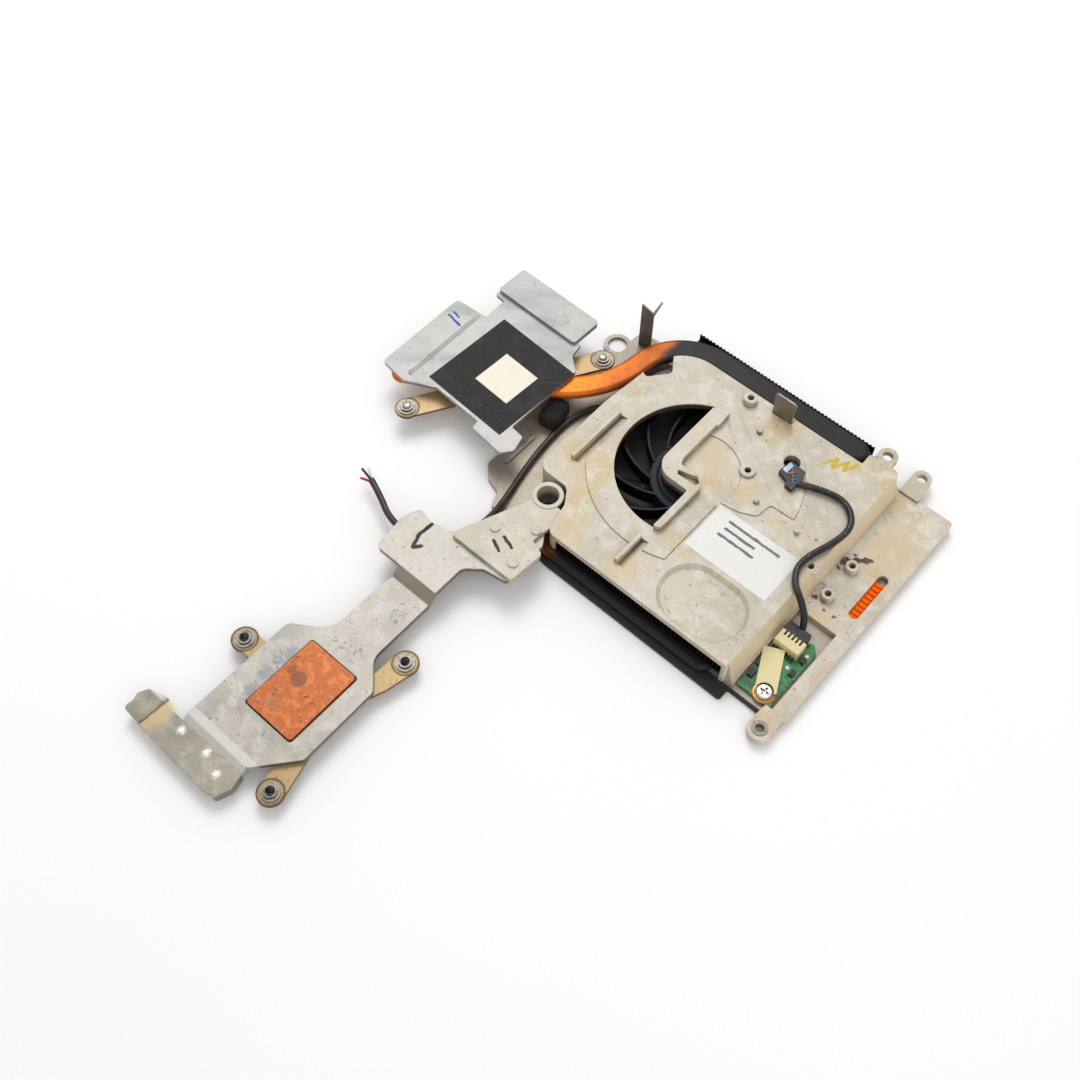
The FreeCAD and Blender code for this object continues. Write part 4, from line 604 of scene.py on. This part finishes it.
# Pen strokes on both plates as (points, width, colour, strength)
PLATE_PEN = [
    ([(-45.4, -63.4, -2.2), (-45.8, -68.0, -2.2), (-44.2, -72.4, -2.2), (-42.6, -70.6, -2.2)],
     1.3, "0a080c", 1.0),
    ([(-94.2, -5.0, 0.0), (-88.6, -5.9, 0.0)], 0.8, "163a92", 1.0),
    ([(-93.8, -3.2, 0.0), (-91.0, -3.6, 0.0)], 0.7, "163a92", 1.0),
    # Brown line along the crease on the left tab: painted shade of the fold
    ([(-86.7, 2.2, -0.5), (-87.7, -30.5, -0.5)], 1.1, "9c8767", 0.85),
]


def plate_finish():
    tones = "9d9a92 aea592 6b665e dad8d1 574c40"
    made = cast_finish("plate_casting", colours().plate, tones, 0.3, 0.42, 0.8)
    brushed = made.blotches(9.0, start=0.5, soft=0.14, detail=7.0, stretch=(1.0, 0.35, 1.0),
                            turn=(0.0, 0.0, 0.9))
    rear = made.beyond(REAR, REAR_PLATE_START, soft=1.0)
    made.paint(rear, "a6a7a8", 0.6)
    made.paint(made.both(brushed, rear), "86878a", 0.5 * wear_and_shade())
    for place, reach in PLATE_SMEARS:
        stain_and_shade(made, place, reach, "7f8890", 0.7, ragged=1.6)
    pits = made.blotches(1.2, start=0.56, soft=0.06, detail=5.0)
    for place, reach in PLATE_PITS:
        near = made.spot(place, reach, soft=reach, ragged=1.5)
        made.paint(made.both(pits, near), "6e6a64", 0.8 * wear_and_shade())
    # Painted shade on the step's sloping face, between its foot and its head
    foot = made.beyond(REAR, STEP_FOOT, soft=0.2, ragged=0.3)
    head = made.beyond(REAR, STEP_HEAD, soft=0.2, ragged=0.3)
    made.paint(maths(made.tree, "SUBTRACT", foot, head), "8a7b69", 0.75 * wear_and_shade())
    made.paint(made.beyond(FRONT, PLATE_END, soft=0.8, ragged=1.6), "cfcdc6", 0.7)
    for stroke in PLATE_PEN:
        pen(made, *stroke)
    return made


def choose(piece):
    """Makes one piece the selected and active one."""
    bpy.ops.object.select_all(action="DESELECT")
    piece.select_set(True)
    bpy.context.view_layer.objects.active = piece


def settle(piece):
    """Applies the place, turn and size, so that the object itself stays at the origin."""
    choose(piece)
    bpy.ops.object.transform_apply(location=True, rotation=True, scale=True)


def smooth(piece, degrees=35.0):
    choose(piece)
    bpy.ops.object.shade_smooth_by_angle(angle=math.radians(degrees))


def open_mesh():
    """Goes into edit mode with the whole mesh selected."""
    bpy.ops.object.mode_set(mode="EDIT")
    bpy.ops.mesh.select_all(action="SELECT")


def close_mesh():
    """Turns all faces outward and leaves edit mode."""
    bpy.ops.mesh.select_all(action="SELECT")
    bpy.ops.mesh.normals_make_consistent(inside=False)
    bpy.ops.object.mode_set(mode="OBJECT")


def pick_faces(piece, test):
    """Selects, in edit mode, the faces that pass the test."""
    bpy.ops.mesh.select_mode(type="FACE")
    bpy.ops.mesh.select_all(action="DESELECT")
    shape = bmesh.from_edit_mesh(piece.data)
    for face in shape.faces:
        if test(face):
            face.select_set(True)
    bmesh.update_edit_mesh(piece.data)


def finish_piece(piece, name, body, material):
    """Names a piece, gives it its finish and puts it on its body."""
    piece.name = name
    piece.data.name = name
    piece.data.materials.clear()
    piece.data.materials.append(material)
    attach(piece, body)


def block(x, y, z, width, length, height, turn=0.0):
    """Starts a piece from a box centred at a place, in millimetres."""
    bpy.ops.object.select_all(action="DESELECT")
    bpy.ops.mesh.primitive_cube_add(size=1.0, location=at(x, y, z),
                                    rotation=(0.0, 0.0, math.radians(turn)))
    piece = bpy.context.object
    piece.scale = (width * MM, length * MM, height * MM)
    settle(piece)
    return piece


def turned(x, y, rings, segments=24):
    """Round piece pulled up ring by ring; rings are (radius, height) in millimetres."""
    bpy.ops.object.select_all(action="DESELECT")
    radius, low = rings[0]
    bpy.ops.mesh.primitive_circle_add(vertices=segments, radius=radius * MM, fill_type="NGON",
                                      location=at(x, y, low))
    piece = bpy.context.object
    settle(piece)
    open_mesh()
    for (before, z0), (after, z1) in zip(rings, rings[1:]):
        bpy.ops.mesh.extrude_region_move(TRANSFORM_OT_translate={"value": (0.0, 0.0, (z1 - z0) * MM)})
        factor = after / before
        bpy.ops.transform.resize(value=(factor, factor, 1.0), center_override=at(x, y, z1))
    close_mesh()
    return piece


def dress(finish, *nodes):
    """Closes a finish, puts it on CAD nodes and gives back its material."""
    material = finish.done()
    for name in nodes:
        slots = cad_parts[name].data.materials
        slots.clear()
        slots.append(material)
    return material


FLOOR_SIZE = 4.0
# How far the floor lies below the part
FLOOR_DROP = 0.00005
WORLD_STRENGTH = 0.62
# Lights as (name, place from the camera's target, size, power)
LIGHTS = [
    ("key_light", (-0.35, 0.35, 0.75), 0.5, 3.8),
    ("fill_light", (0.55, -0.25, 0.6), 0.7, 1.1),
]


class PlaceStage(bpy.types.Operator):
    """Pale floor, soft studio light and the photograph's camera"""
    bl_idname = "cooler.stage"
    bl_label = "Stage and camera"

    def execute(self, context):
        self.floor(context)
        self.lights(context)
        self.camera(context)
        context.scene.view_settings.view_transform = "Standard"
        return {"FINISHED"}

    def floor(self, context):
        """Pale floor with a painted shadow right under the fan."""
        bpy.ops.object.select_all(action="DESELECT")
        bpy.ops.mesh.primitive_plane_add(size=FLOOR_SIZE, location=(0.0, 0.0, CAD_BOX[0][2] - FLOOR_DROP))
        floor = context.object
        settle(floor)
        floor.name = "studio_floor"
        made = Finish("studio_floor", colours().floor, 0.85)
        made.patches("f7f7f7", 0.5, 300.0, start=0.3, soft=0.5)
        shade = made.spot((0.0, 0.0, -11.0), FLOOR_SHADE_RADIUS, soft=3.0, ragged=0.0)
        made.paint(shade, "120f0d", 0.96)
        floor.data.materials.append(made.done())

    def lights(self, context):
        """Even light from all sides and two large lamps."""
        world = bpy.data.worlds.new("studio")
        world.use_nodes = True
        sky = world.node_tree.nodes["Background"].inputs
        sky["Color"].default_value = (1.0, 1.0, 1.0, 1.0)
        sky["Strength"].default_value = WORLD_STRENGTH
        context.scene.world = world
        for name, place, size, power in LIGHTS:
            lamp = bpy.data.lights.new(name, "AREA")
            lamp.size = size
            lamp.energy = power
            holder = bpy.data.objects.new(name, lamp)
            holder.location = Vector(CAMERA_TARGET) + Vector(place)
            holder.rotation_euler = Vector(place).to_track_quat("Z", "Y").to_euler()
            context.scene.collection.objects.link(holder)

    def camera(self, context):
        """The photograph's camera."""
        azimuth = math.radians(CAMERA_AZIMUTH)
        elevation = math.radians(CAMERA_ELEVATION)
        back = Vector((math.sin(azimuth) * math.cos(elevation), -math.cos(azimuth) * math.cos(elevation),
                       math.sin(elevation)))
        lens = bpy.data.cameras.new("photo_camera")
        lens.lens = CAMERA_LENS
        lens.sensor_width = CAMERA_SENSOR
        lens.clip_start = 0.01
        camera = bpy.data.objects.new("photo_camera", lens)
        camera.location = Vector(CAMERA_TARGET) + back * context.scene.cooler_sizes.camera_distance
        roll = Quaternion((0.0, 0.0, 1.0), math.radians(CAMERA_ROLL))
        camera.rotation_euler = (back.to_track_quat("Z", "Y") @ roll).to_euler()
        context.scene.collection.objects.link(camera)
        context.scene.camera = camera


def route_curve(name, route, radius):
    """Smooth line with the route's points as its control points."""
    data = bpy.data.curves.new(name, "CURVE")
    data.dimensions = "3D"
    spline = data.splines.new("NURBS")
    spline.points.add(len(route) - 1)
    for spot, point in zip(spline.points, route):
        spot.co = (*at(*point), 1.0)
    spline.order_u = 3
    spline.use_endpoint_u = True
    spline.resolution_u = 10
    data.bevel_depth = radius
    data.bevel_resolution = 5
    data.use_fill_caps = True
    line = bpy.data.objects.new(name, data)
    bpy.context.scene.collection.objects.link(line)
    return line


def to_mesh(line):
    choose(line)
    bpy.ops.object.convert(target="MESH")
    return bpy.context.object


def plastic(name, colour, rough, dust=0.25, specular=0.5):
    """Moulded plastic or rubber with a little dust and grain."""
    made = Finish(name, colour, rough, specular=specular)
    fine = made.blotches(0.6, start=0.4, soft=0.3)
    made.patches("8f877c", dust * 0.35, 6.0, start=0.5, soft=0.2, detail=6.0)
    speck = made.blotches(0.9, start=0.64, soft=0.05)
    made.paint(speck, "aaa296", dust)
    made.gloss(fine, min(rough + 0.15, 1.0), 0.7)
    made.lift(fine, 0.004)
    return made


class LayLeads(bpy.types.Operator):
    """Fan lead with its cut wires, and the lead from the cover to the board"""
    bl_idname = "cooler.leads"
    bl_label = "Leads"

    def execute(self, context):
        width = context.scene.cooler_sizes.lead_width
        sleeve = plastic("lead_sleeve", "171514", 0.36)
        rubbed = sleeve.beyond(LEFT, -31.3, soft=5.0, ragged=3.0)
        sleeve.paint(rubbed, "3a2c22", 0.55)
        sleeve = sleeve.done()
        for name, code, points in WIRES:
            wire = to_mesh(route_curve(name, points, WIRE_RADIUS * MM))
            finish_piece(wire, name, "root", plastic(name, code, 0.4).done())
            smooth(wire)
        fan_lead = route_curve("fan_lead_sleeve", FAN_LEAD, width / 2.0)
        finish_piece(fan_lead, "fan_lead_sleeve", "root", sleeve)
        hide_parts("fan_lead")
        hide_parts("fan_lead_wires")
        board_lead = route_curve("board_lead_sleeve", BOARD_LEAD, width / 2.0)
        finish_piece(board_lead, "board_lead_sleeve", "root", sleeve)
        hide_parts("board_lead")
        return {"FINISHED"}


class DressCastings(bpy.types.Operator):
    """Cast cover, plates, base and flange"""
    bl_idname = "cooler.castings"
    bl_label = "Castings"

    def execute(self, context):
        dress(cover_finish(), "fan_cover", "ear_rivets")
        dress(plate_finish(), "cpu_plate", "gpu_plate")
        tones = "938a7e 91826e 5b5044 c2baad 463c31"
        base = cast_finish("base_sheet", "a89b8b", tones, 0.35, 0.42)
        front = base.beyond(FRONT, BASE_FRONT, soft=0.2, ragged=0.3)
        # Painted shade: the base's faces that look up, under the fan and in the bite, painted near-black
        fan = base.spot(AXIS, BASE_SHADE_RADIUS, soft=1.0, ragged=0.0, shape=DISC)
        bite = base.spot((-34.5, 27.0, -9.0), 7.0, soft=2.0)
        above = base.effect("Facing", Start=0.0)
        fan = base.both(fan, above)
        bite = base.both(bite, above)
        # The front ledge is black paint; the fan and bite masks are painted shade
        for mask, code in ((front, "161312"), (fan, "0c0a09"), (bite, "1d1713")):
            base.paint(mask, code, 0.97)
            base.shine(mask, 0.0)
            base.gloss(mask, 0.7)
        dress(base, "base_plate")
        tones = "8b8472 9a8a66 6b6359 bdbab0 574e45"
        flange = cast_finish("flange_sheet", "9d9686", tones, 0.3, 0.34)
        strip = flange.beyond(REAR, FLANGE_STRIP_START, soft=0.5, ragged=0.8)
        flange.paint(strip, "cfcdc6", 0.85)
        stain_and_shade(flange, (-60.5, -153.0, -6.4), 3.6, "cdb380", 0.7, shape=(1.0, 0.5, 1.0))
        pen(flange, [(-61.8, -148.0, -6.6), (-62.4, -157.5, -6.6)], 1.0, "6b5d4d", 0.8)
        for place in ((-52.4, -151.8, -6.0), (-42.7, -151.6, -6.0), (-36.3, -153.9, -6.0)):
            stain_and_shade(flange, place, 1.7, "fbfaf4", 0.95, ragged=0.3)
        dress(flange, "end_flange")
        tones = "94887a 9d8d74 5d5348 d9d2c6 4b4138"
        dress(cast_finish("tab_sheet", "a5998a", tones, 0.45, 0.4), "rear_tab")
        tones = "5a5047 7a6a5a 2d2722 a99f91 3a322b"
        dress(cast_finish("finger_sheet", "8f8477", tones, 0.5, 0.36), "ground_finger")
        return {"FINISHED"}


# Length over which a pipe turns brown before the black paint starts
BROWN_RUN = 11.0


def pipe_finish(name, line, fade, ragged, tarnish=0.0):
    """Bare, more or less tarnished copper that goes over into black paint along the pipe."""
    made = Finish(name, colours().copper, 0.36, 0.6, specular=0.3)
    made.patches("b85a1c", 0.75, 14.0, start=0.44, soft=0.25, detail=6.0)
    made.patches("8a4317", 0.55, 3.0, start=0.6, soft=0.12, detail=5.0)
    made.patches("6a2e10", tarnish, 20.0, start=0.2, soft=0.3)
    specks = made.blotches(1.5, start=0.64, soft=0.06, detail=6.0)
    made.paint(specks, "6f3714", 0.7 * wear_and_shade())
    # Painted highlight along the pipe's rounded edges
    made.paint(made.round_edges(0.0006, 0.3), "f4b079", 0.6)
    made.gloss(specks, 0.5)
    brown = made.beyond(RIGHT, line - BROWN_RUN, soft=BROWN_RUN, ragged=6.0)
    made.paint(brown, "7c421d", 0.7)
    black = made.beyond(RIGHT, line, soft=fade, ragged=ragged)
    worn = made.blotches(2.2, start=0.68, soft=0.05, detail=5.0)
    made.paint(black, colours().paint)
    made.paint(worn, "54402f", 0.35)
    made.gloss(black, 0.46)
    made.shine(black, 0.0)
    made.lift(made.blotches(5.0, start=0.3, soft=0.5), 0.03)
    return made


# Fine dark stains on the slug as (place, reach, strength)
SLUG_STAINS = [
    ((-43.0, -119.0, -4.6), 5.0, 1.0),
    ((-42.0, -129.0, -4.6), 6.0, 0.9),
    ((-31.6, -128.1, -4.6), 4.0, 0.9),
    ((-36.7, -114.6, -4.6), 4.0, 0.8),
    ((-32.6, -122.8, -4.6), 4.5, 0.9),
    ((-36.7, -124.9, -4.6), 4.0, 0.7),
]


def slug_finish():
    made = Finish("slug_copper", "b2602c", 0.42, 0.4)
    # Painted highlight along the slug's edges
    made.paint(made.round_edges(0.0004, 0.35), "ecb68e", 0.6)
    made.patches("b05c2e", 0.6, 7.0, start=0.45, soft=0.2, detail=7.0)
    warm = made.blotches(3.0, start=0.48, soft=0.14, detail=8.0, turn=(0.0, 0.0, 1.0))
    made.paint(warm, "dc8549", 0.45)
    grit = made.blotches(0.9, start=0.52, soft=0.14, detail=5.0)
    made.paint(grit, "9b5126", 0.4)
    made.patches("eba873", 0.4, 1.4, start=0.6, soft=0.1)
    specks = made.blotches(1.8, start=0.6, soft=0.06, detail=7.0)
    for place, reach, much in SLUG_STAINS:
        near = made.spot(place, reach, soft=reach, ragged=1.2)
        made.paint(made.both(specks, near), "4b3a2e", much * wear_and_shade())
    stain_and_shade(made, (-39.3, -121.4, -4.6), 2.5, "7d4c37", 0.85, soft=0.5, ragged=0.15)
    stain_and_shade(made, (-42.6, -120.8, -4.6), 2.0, "7c4227", 0.7, ragged=1.2)
    stain_and_shade(made, (-40.0, -130.5, -4.6), 3.0, "93684f", 0.5, ragged=1.6)
    made.gloss(grit, 0.5)
    made.lift(grit, 0.01)
    return made


class DressPipes(bpy.types.Operator):
    """Heat pipes and copper slug"""
    bl_idname = "cooler.pipes"
    bl_label = "Heat pipes and slug"

    def execute(self, context):
        dress(pipe_finish("gpu_pipe_copper", -36.0, 3.5, 3.0), "gpu_heat_pipe")
        dress(pipe_finish("cpu_pipe_copper", -22.0, 10.0, 6.0, 0.6), "cpu_heat_pipe")
        dress(slug_finish(), "cpu_slug")
        return {"FINISHED"}


class DressFins(bpy.types.Operator):
    """Painted fin stacks"""
    bl_idname = "cooler.fins"
    bl_label = "Fins"

    def execute(self, context):
        made = Finish("fin_paint", colours().paint, 0.6, specular=0.15)
        worn = made.round_edges(0.0001, 0.5)
        made.patches("211d1b", 0.6, 5.0, start=0.5, soft=0.2, detail=6.0)
        front = made.beyond(FRONT, 30.0, soft=0.5)
        made.paint(front, "0b0a09", 0.85)
        made.paint(worn, "3a3530", 0.25)
        made.lift(made.blotches(0.8, start=0.4, soft=0.3), 0.01)
        dress(made, "rear_fins", "side_fins")
        return {"FINISHED"}


def steel(name, code, rough, dark="4a4640", metal=0.85):
    """Plain steel with fine marks and worn edges, and painted shade in its corners."""
    made = Finish(name, code, rough, metal)
    worn = made.round_edges(0.00012, 0.45)
    fine = made.blotches(0.7, start=0.48, soft=0.2)
    made.patches(dark, 0.35, 4.0, start=0.45, soft=0.25, detail=6.0)
    made.paint(fine, dark, 0.3)
    # Painted shade in the corners
    made.paint(made.effect("Crevices", Reach=0.0008), dark, 0.7)
    made.paint(worn, "efeae0", 0.5)
    made.gloss(fine, rough + 0.15)
    made.lift(fine, 0.006)
    return made


class DressFastening(bpy.types.Operator):
    """Leaf springs, captive screws, collars and threads"""
    bl_idname = "cooler.fastening"
    bl_label = "Springs and screws"

    def execute(self, context):
        spring = Finish("spring_steel", colours().spring, 0.4, 0.35)
        worn = spring.round_edges(0.0003, 0.3)
        spring.patches("a98e63", 0.7, 9.0, start=0.42, soft=0.25, detail=6.0)
        spring.patches("7b6644", 0.45, 1.0, start=0.58, soft=0.1)
        # Painted shade in the springs' inner corners
        spring.paint(spring.effect("Crevices"), "4a3f31", 0.7)
        # Painted shade: the edges darkened to dark outlines
        spring.paint(worn, "4c3f2d", 0.65)
        # Painted shade on the side faces
        spring.paint(spring.effect("Facing", "Across"), "3d3224", 0.85)
        # Painted shade of the groove: a dark ring round each screw
        for name in SCREWS:
            place = middle_of(name)
            outer = spring.spot(place, RING_OUTER, soft=0.3, ragged=0.15, shape=DISC)
            inner = spring.spot(place, RING_INNER, soft=0.4, ragged=0.15, shape=DISC)
            spring.paint(maths(spring.tree, "SUBTRACT", outer, inner), "3b3024", 0.8 * wear_and_shade())
        spring.lift(spring.blotches(0.6, start=0.4, soft=0.3), 0.006)
        dress(spring, "cpu_spring", "gpu_spring")
        collar = steel("collar_steel", "8f8a80", 0.4)
        dress(collar, "cpu_screw_collars", "gpu_screw_collars", "base_screws")
        dress(steel("screw_steel", "8a867e", 0.36, "35312d"), *SCREWS)
        dress(steel("bright_steel", "c9c6c0", 0.26, "6d6860"), "board_screw")
        dress(steel("insert_steel", "8f887d", 0.42, "38312a"), "tab_insert")
        self.cut_threads(steel("dark_thread", "211f1e", 0.36, "100e0d").done(),
                         steel("bright_thread", "a39d92", 0.34, "4b453d").done())
        return {"FINISHED"}

    def cut_threads(self, dark, bright):
        """Thread ridges on the tip of each captive screw."""
        for name in SCREWS:
            x, y, _ = middle_of(name)
            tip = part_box(name)[1].z / MM - FAN_Z
            thread = turned(x, y, [(radius, tip + height) for radius, height in THREAD])
            smooth(thread, 30.0)
            finish = dark if "cpu" in name else bright
            finish_piece(thread, name + "_thread", name + "_body", finish)


class DressFan(bpy.types.Operator):
    """Impeller and motor"""
    bl_idname = "cooler.fan"
    bl_label = "Impeller and motor"

    def execute(self, context):
        blades = plastic("blade_plastic", "060607", 0.42, 0.06, specular=0.2)
        blades.paint(blades.round_edges(0.00012, 0.4), "4a4543", 0.4)
        hub = blades.spot(AXIS, HUB_RADIUS, soft=0.3, ragged=0.0, shape=DISC)
        blades.paint(hub, "1c2129", 0.8)
        dress(blades, "impeller")
        dress(plastic("magnet", "3b3a39", 0.55, 0.2), "magnet_ring")
        dress(steel("shaft_steel", "b5b3ae", 0.2), "rotor_shaft")
        dress(steel("bearing_brass", "b9954f", 0.3, "6f5425"), "motor_bearing")
        core = steel("core_steel", "6d6c6a", 0.4, "2d2b29")
        leaf = core.blotches(0.35, start=0.5, soft=0.05, stretch=(0.02, 0.02, 1.0))
        core.lift(leaf, -0.02)
        dress(core, "stator_core")
        coil = Finish("winding_copper", "a4532a", 0.3, 0.7)
        turns = coil.blotches(0.3, start=0.5, soft=0.2, stretch=(0.05, 0.05, 1.0))
        coil.paint(turns, "d98b55", 0.5)
        coil.lift(turns, 0.03)
        dress(coil, "stator_windings")
        return {"FINISHED"}


def board_finish(name):
    made = Finish(name, colours().board, 0.32)
    made.round_edges(0.0001)
    for turn in (0.0, math.pi / 2.0):
        track = made.blotches(1.6, start=0.52, soft=0.02, detail=1.0, stretch=(1.0, 0.15, 1.0),
                              turn=(0.0, 0.0, turn))
        made.paint(track, "2f8a50", 0.55)
        made.lift(track, 0.02)
    made.patches("c9c49a", 0.8, 0.7, start=0.66, soft=0.02)
    made.paint(made.effect("Facing", Direction=RIGHT, Start=0.5), "a7a36a", 0.7)
    return made


class DressBoard(bpy.types.Operator):
    """Circuit board with its socket, plug, tag, pins, solder and screw ring"""
    bl_idname = "cooler.board"
    bl_label = "Board"

    def execute(self, context):
        dress(board_finish("board_green"), "control_board")
        motor = board_finish("motor_board_painted_shade")
        # Painted shade: the green board painted near-black, fading out on faces that look down
        motor.paint(motor.effect("Facing", Start=-1.0), "120e0c", 0.96)
        motor.rough = 0.8
        dress(motor, "motor_board")
        cream = plastic("socket_cream", "ddcf9f", 0.42, 0.3)
        # Painted shade in the socket's corners
        cream.paint(cream.effect("Crevices", Reach=0.0006), "6d6246", 0.7)
        dress(cream, "board_socket")
        dress(plastic("tag_paper", "e2d5a6", 0.75, 0.2), "board_tag")
        dark = plastic("plug_plastic", "131212", 0.36, 0.2)
        # Holes in a row along the plug, painted black as painted shade
        for i in range(5):
            stain_and_shade(dark, (49.9 + i * 1.2, -20.2, -5.9), 0.5, "000000", 0.9, soft=0.2, ragged=0.0)
        self.pins(dress(dark, "board_plug", "board_chips"))
        self.solder()
        return {"FINISHED"}

    def pins(self, material):
        """Bent legs of the socket, side by side."""
        leg = block(49.3, -26.4, -8.2, 0.45, 0.6, 0.3)
        open_mesh()
        pick_faces(leg, lambda face: face.normal.y < -0.9)
        bpy.ops.mesh.extrude_region_move(TRANSFORM_OT_translate={"value": (0.0, -0.35 * MM, -0.4 * MM)})
        bpy.ops.mesh.extrude_region_move(TRANSFORM_OT_translate={"value": (0.0, -0.75 * MM, 0.0)})
        bpy.ops.mesh.select_all(action="SELECT")
        bpy.ops.mesh.bevel(offset=0.05 * MM, segments=1, affect="EDGES")
        close_mesh()
        row = leg.modifiers.new("row", "ARRAY")
        row.count = LEGS
        row.use_relative_offset = False
        row.use_constant_offset = True
        row.constant_offset_displace = (LEG_STEP * MM, 0.0, 0.0)
        choose(leg)
        bpy.ops.object.modifier_apply(modifier=row.name)
        finish_piece(leg, "socket_legs", "root", material)

    def solder(self):
        """Solder dots, and the gilt ring under the screw."""
        tin = steel("solder_tin", "d9d6cf", 0.3, "8b877e", 0.5).done()
        for number, (x, y) in enumerate(SOLDER_DOTS, 1):
            dot = turned(x, y, [(0.75, -8.88), (0.72, -8.76), (0.42, -8.62), (0.12, -8.57)], 20)
            smooth(dot, 50.0)
            finish_piece(dot, "solder_dot_%d" % number, "root", tin)
        gilt = steel("gilt_ring", "b98748", 0.36, "6f4a24", 0.6).done()
        ring = turned(55.8, -39.6, [(3.3, -8.9), (3.3, -8.8), (3.15, -8.74), (2.5, -8.74)], 40)
        smooth(ring, 30.0)
        finish_piece(ring, "screw_ring", "root", gilt)


class DressConnector(bpy.types.Operator):
    """Connector on the cover, with its contacts and latch"""
    bl_idname = "cooler.connector"
    bl_label = "Cover connector"

    def execute(self, context):
        dress(plastic("connector_plastic", "15161a", 0.3, 0.25), "cover_connector")
        latch = plastic("latch_plastic", "9fc4da", 0.2, 0.1)
        latch.patches("dfeaf0", 0.7, 1.5, start=0.5, soft=0.1)
        dress(latch, "connector_latch")
        rib = steel("contact_steel", "64768a", 0.34, "22262c").done()
        strip = steel("contact_copper", "9c5736", 0.34, "33221a").done()
        # Four ribs side by side, and a strip across them
        bars = [((21.9 + i * 0.75, 17.4 - i, 2.05, 0.34, 2.3, 0.5, 60.0), rib, "steel") for i in range(4)]
        bars.append(((22.1, 16.0, 2.4, 0.5, 2.6, 0.3, -38.0), strip, "copper"))
        for number, (place, finish, slot) in enumerate(bars, 1):
            bar = block(*place)
            open_mesh()
            bpy.ops.mesh.bevel(offset=0.1 * MM, segments=2, affect="EDGES")
            close_mesh()
            finish_piece(bar, "connector_contact_%d" % number, "root", finish)
        return {"FINISHED"}


# Plain strokes on the label as (left end, right end, y)
LABEL_STROKES = [(18.6, 35.4, -7.6), (18.8, 28.6, -10.2), (18.4, 30.0, -12.8)]


class DressSheets(bpy.types.Operator):
    """Label, pads and foam"""
    bl_idname = "cooler.sheets"
    bl_label = "Label, pads and foam"

    def execute(self, context):
        paper = Finish("label_paper", "e6e4e0", 0.55)
        paper.patches("dad7d1", 0.7, 12.0, start=0.45, soft=0.3, detail=6.0)
        paper.patches("b4afa5", 0.5, 0.8, start=0.66, soft=0.04)
        paper.lift(paper.blotches(0.5, start=0.4, soft=0.3), 0.006)
        for left, right, y in LABEL_STROKES:
            pen(paper, [(left, y, 0.1), (right, y, 0.1)], 1.0, "3c3b3d", 0.85)
        dress(paper, "label")
        film = plastic("pad_frame_film", "1b1816", 0.5, 0.12, specular=0.25)
        scratch = film.blotches(2.5, start=0.66, soft=0.03, detail=3.0, stretch=(1.0, 0.05, 1.0),
                                turn=(0.0, 0.0, 0.9))
        film.paint(scratch, "4a4744", 0.35)
        dress(film, "gpu_pad_frame")
        pad = Finish("thermal_pad", "ddd3bf", 0.2)
        pad.patches("d1c6b1", 0.7, 8.0, start=0.45, soft=0.3, detail=6.0)
        pad.lift(pad.blotches(3.0, start=0.3, soft=0.5), 0.02)
        dress(pad, "gpu_thermal_pad")
        ribs = plastic("slot_pad_rubber", colours().pad, 0.65, 0.12, specular=0.1)
        # Painted shade between the pad's ribs and in its corners
        ribs.paint(ribs.effect("Crevices", Reach=0.0008), "7a2c10", 0.7)
        dress(ribs, "slot_pad")
        self.foam()
        return {"FINISHED"}

    def foam(self):
        """Foam block round the lead, soft at its edges."""
        low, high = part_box("lead_foam")
        size = high - low
        piece = block(*middle_of("lead_foam"), size.x / MM * 1.2, size.y / MM * 0.95, size.z / MM, 12.0)
        open_mesh()
        bpy.ops.mesh.bevel(offset=2.1 * MM, segments=5, affect="EDGES")
        bpy.ops.mesh.select_all(action="SELECT")
        bpy.ops.mesh.subdivide(number_cuts=3)
        bpy.ops.transform.vertex_random(offset=0.14 * MM, seed=3)
        close_mesh()
        made = Finish("foam_black", "151516", 0.92)
        cells = made.blotches(0.35, start=0.45, soft=0.15)
        made.paint(cells, "2b2b2c", 0.6)
        made.lift(cells, 0.06)
        finish_piece(piece, "lead_foam_block", "root", made.done())
        smooth(piece, 60.0)
        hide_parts("lead_foam")


STEPS = [PlaceStage, LayLeads, DressCastings, DressPipes, DressFins, DressFastening, DressFan, DressBoard,
         DressConnector, DressSheets]


class CoolerPanel(bpy.types.Panel):
    """Lists the steps, sizes and colours"""
    bl_idname = "VIEW3D_PT_cooler"
    bl_label = "Laptop cooler"
    bl_space_type = "VIEW_3D"
    bl_region_type = "UI"
    bl_category = "Cooler"

    def draw(self, context):
        for step in STEPS:
            self.layout.operator(step.bl_idname)
        for group in (context.scene.cooler_sizes, context.scene.cooler_colours):
            for field in group.__annotations__:
                self.layout.prop(group, field)


CLASSES = [CoolerSizes, CoolerColours, *STEPS, CoolerPanel]


def register():
    for item in CLASSES:
        bpy.utils.register_class(item)
    bpy.types.Scene.cooler_sizes = bpy.props.PointerProperty(type=CoolerSizes)
    bpy.types.Scene.cooler_colours = bpy.props.PointerProperty(type=CoolerColours)


def unregister():
    del bpy.types.Scene.cooler_sizes
    del bpy.types.Scene.cooler_colours
    for item in reversed(CLASSES):
        bpy.utils.unregister_class(item)


def main():
    register()
    for step in STEPS:
        area, name = step.bl_idname.split(".")
        getattr(getattr(bpy.ops, area), name)()


if __name__ == "__main__":
    main()
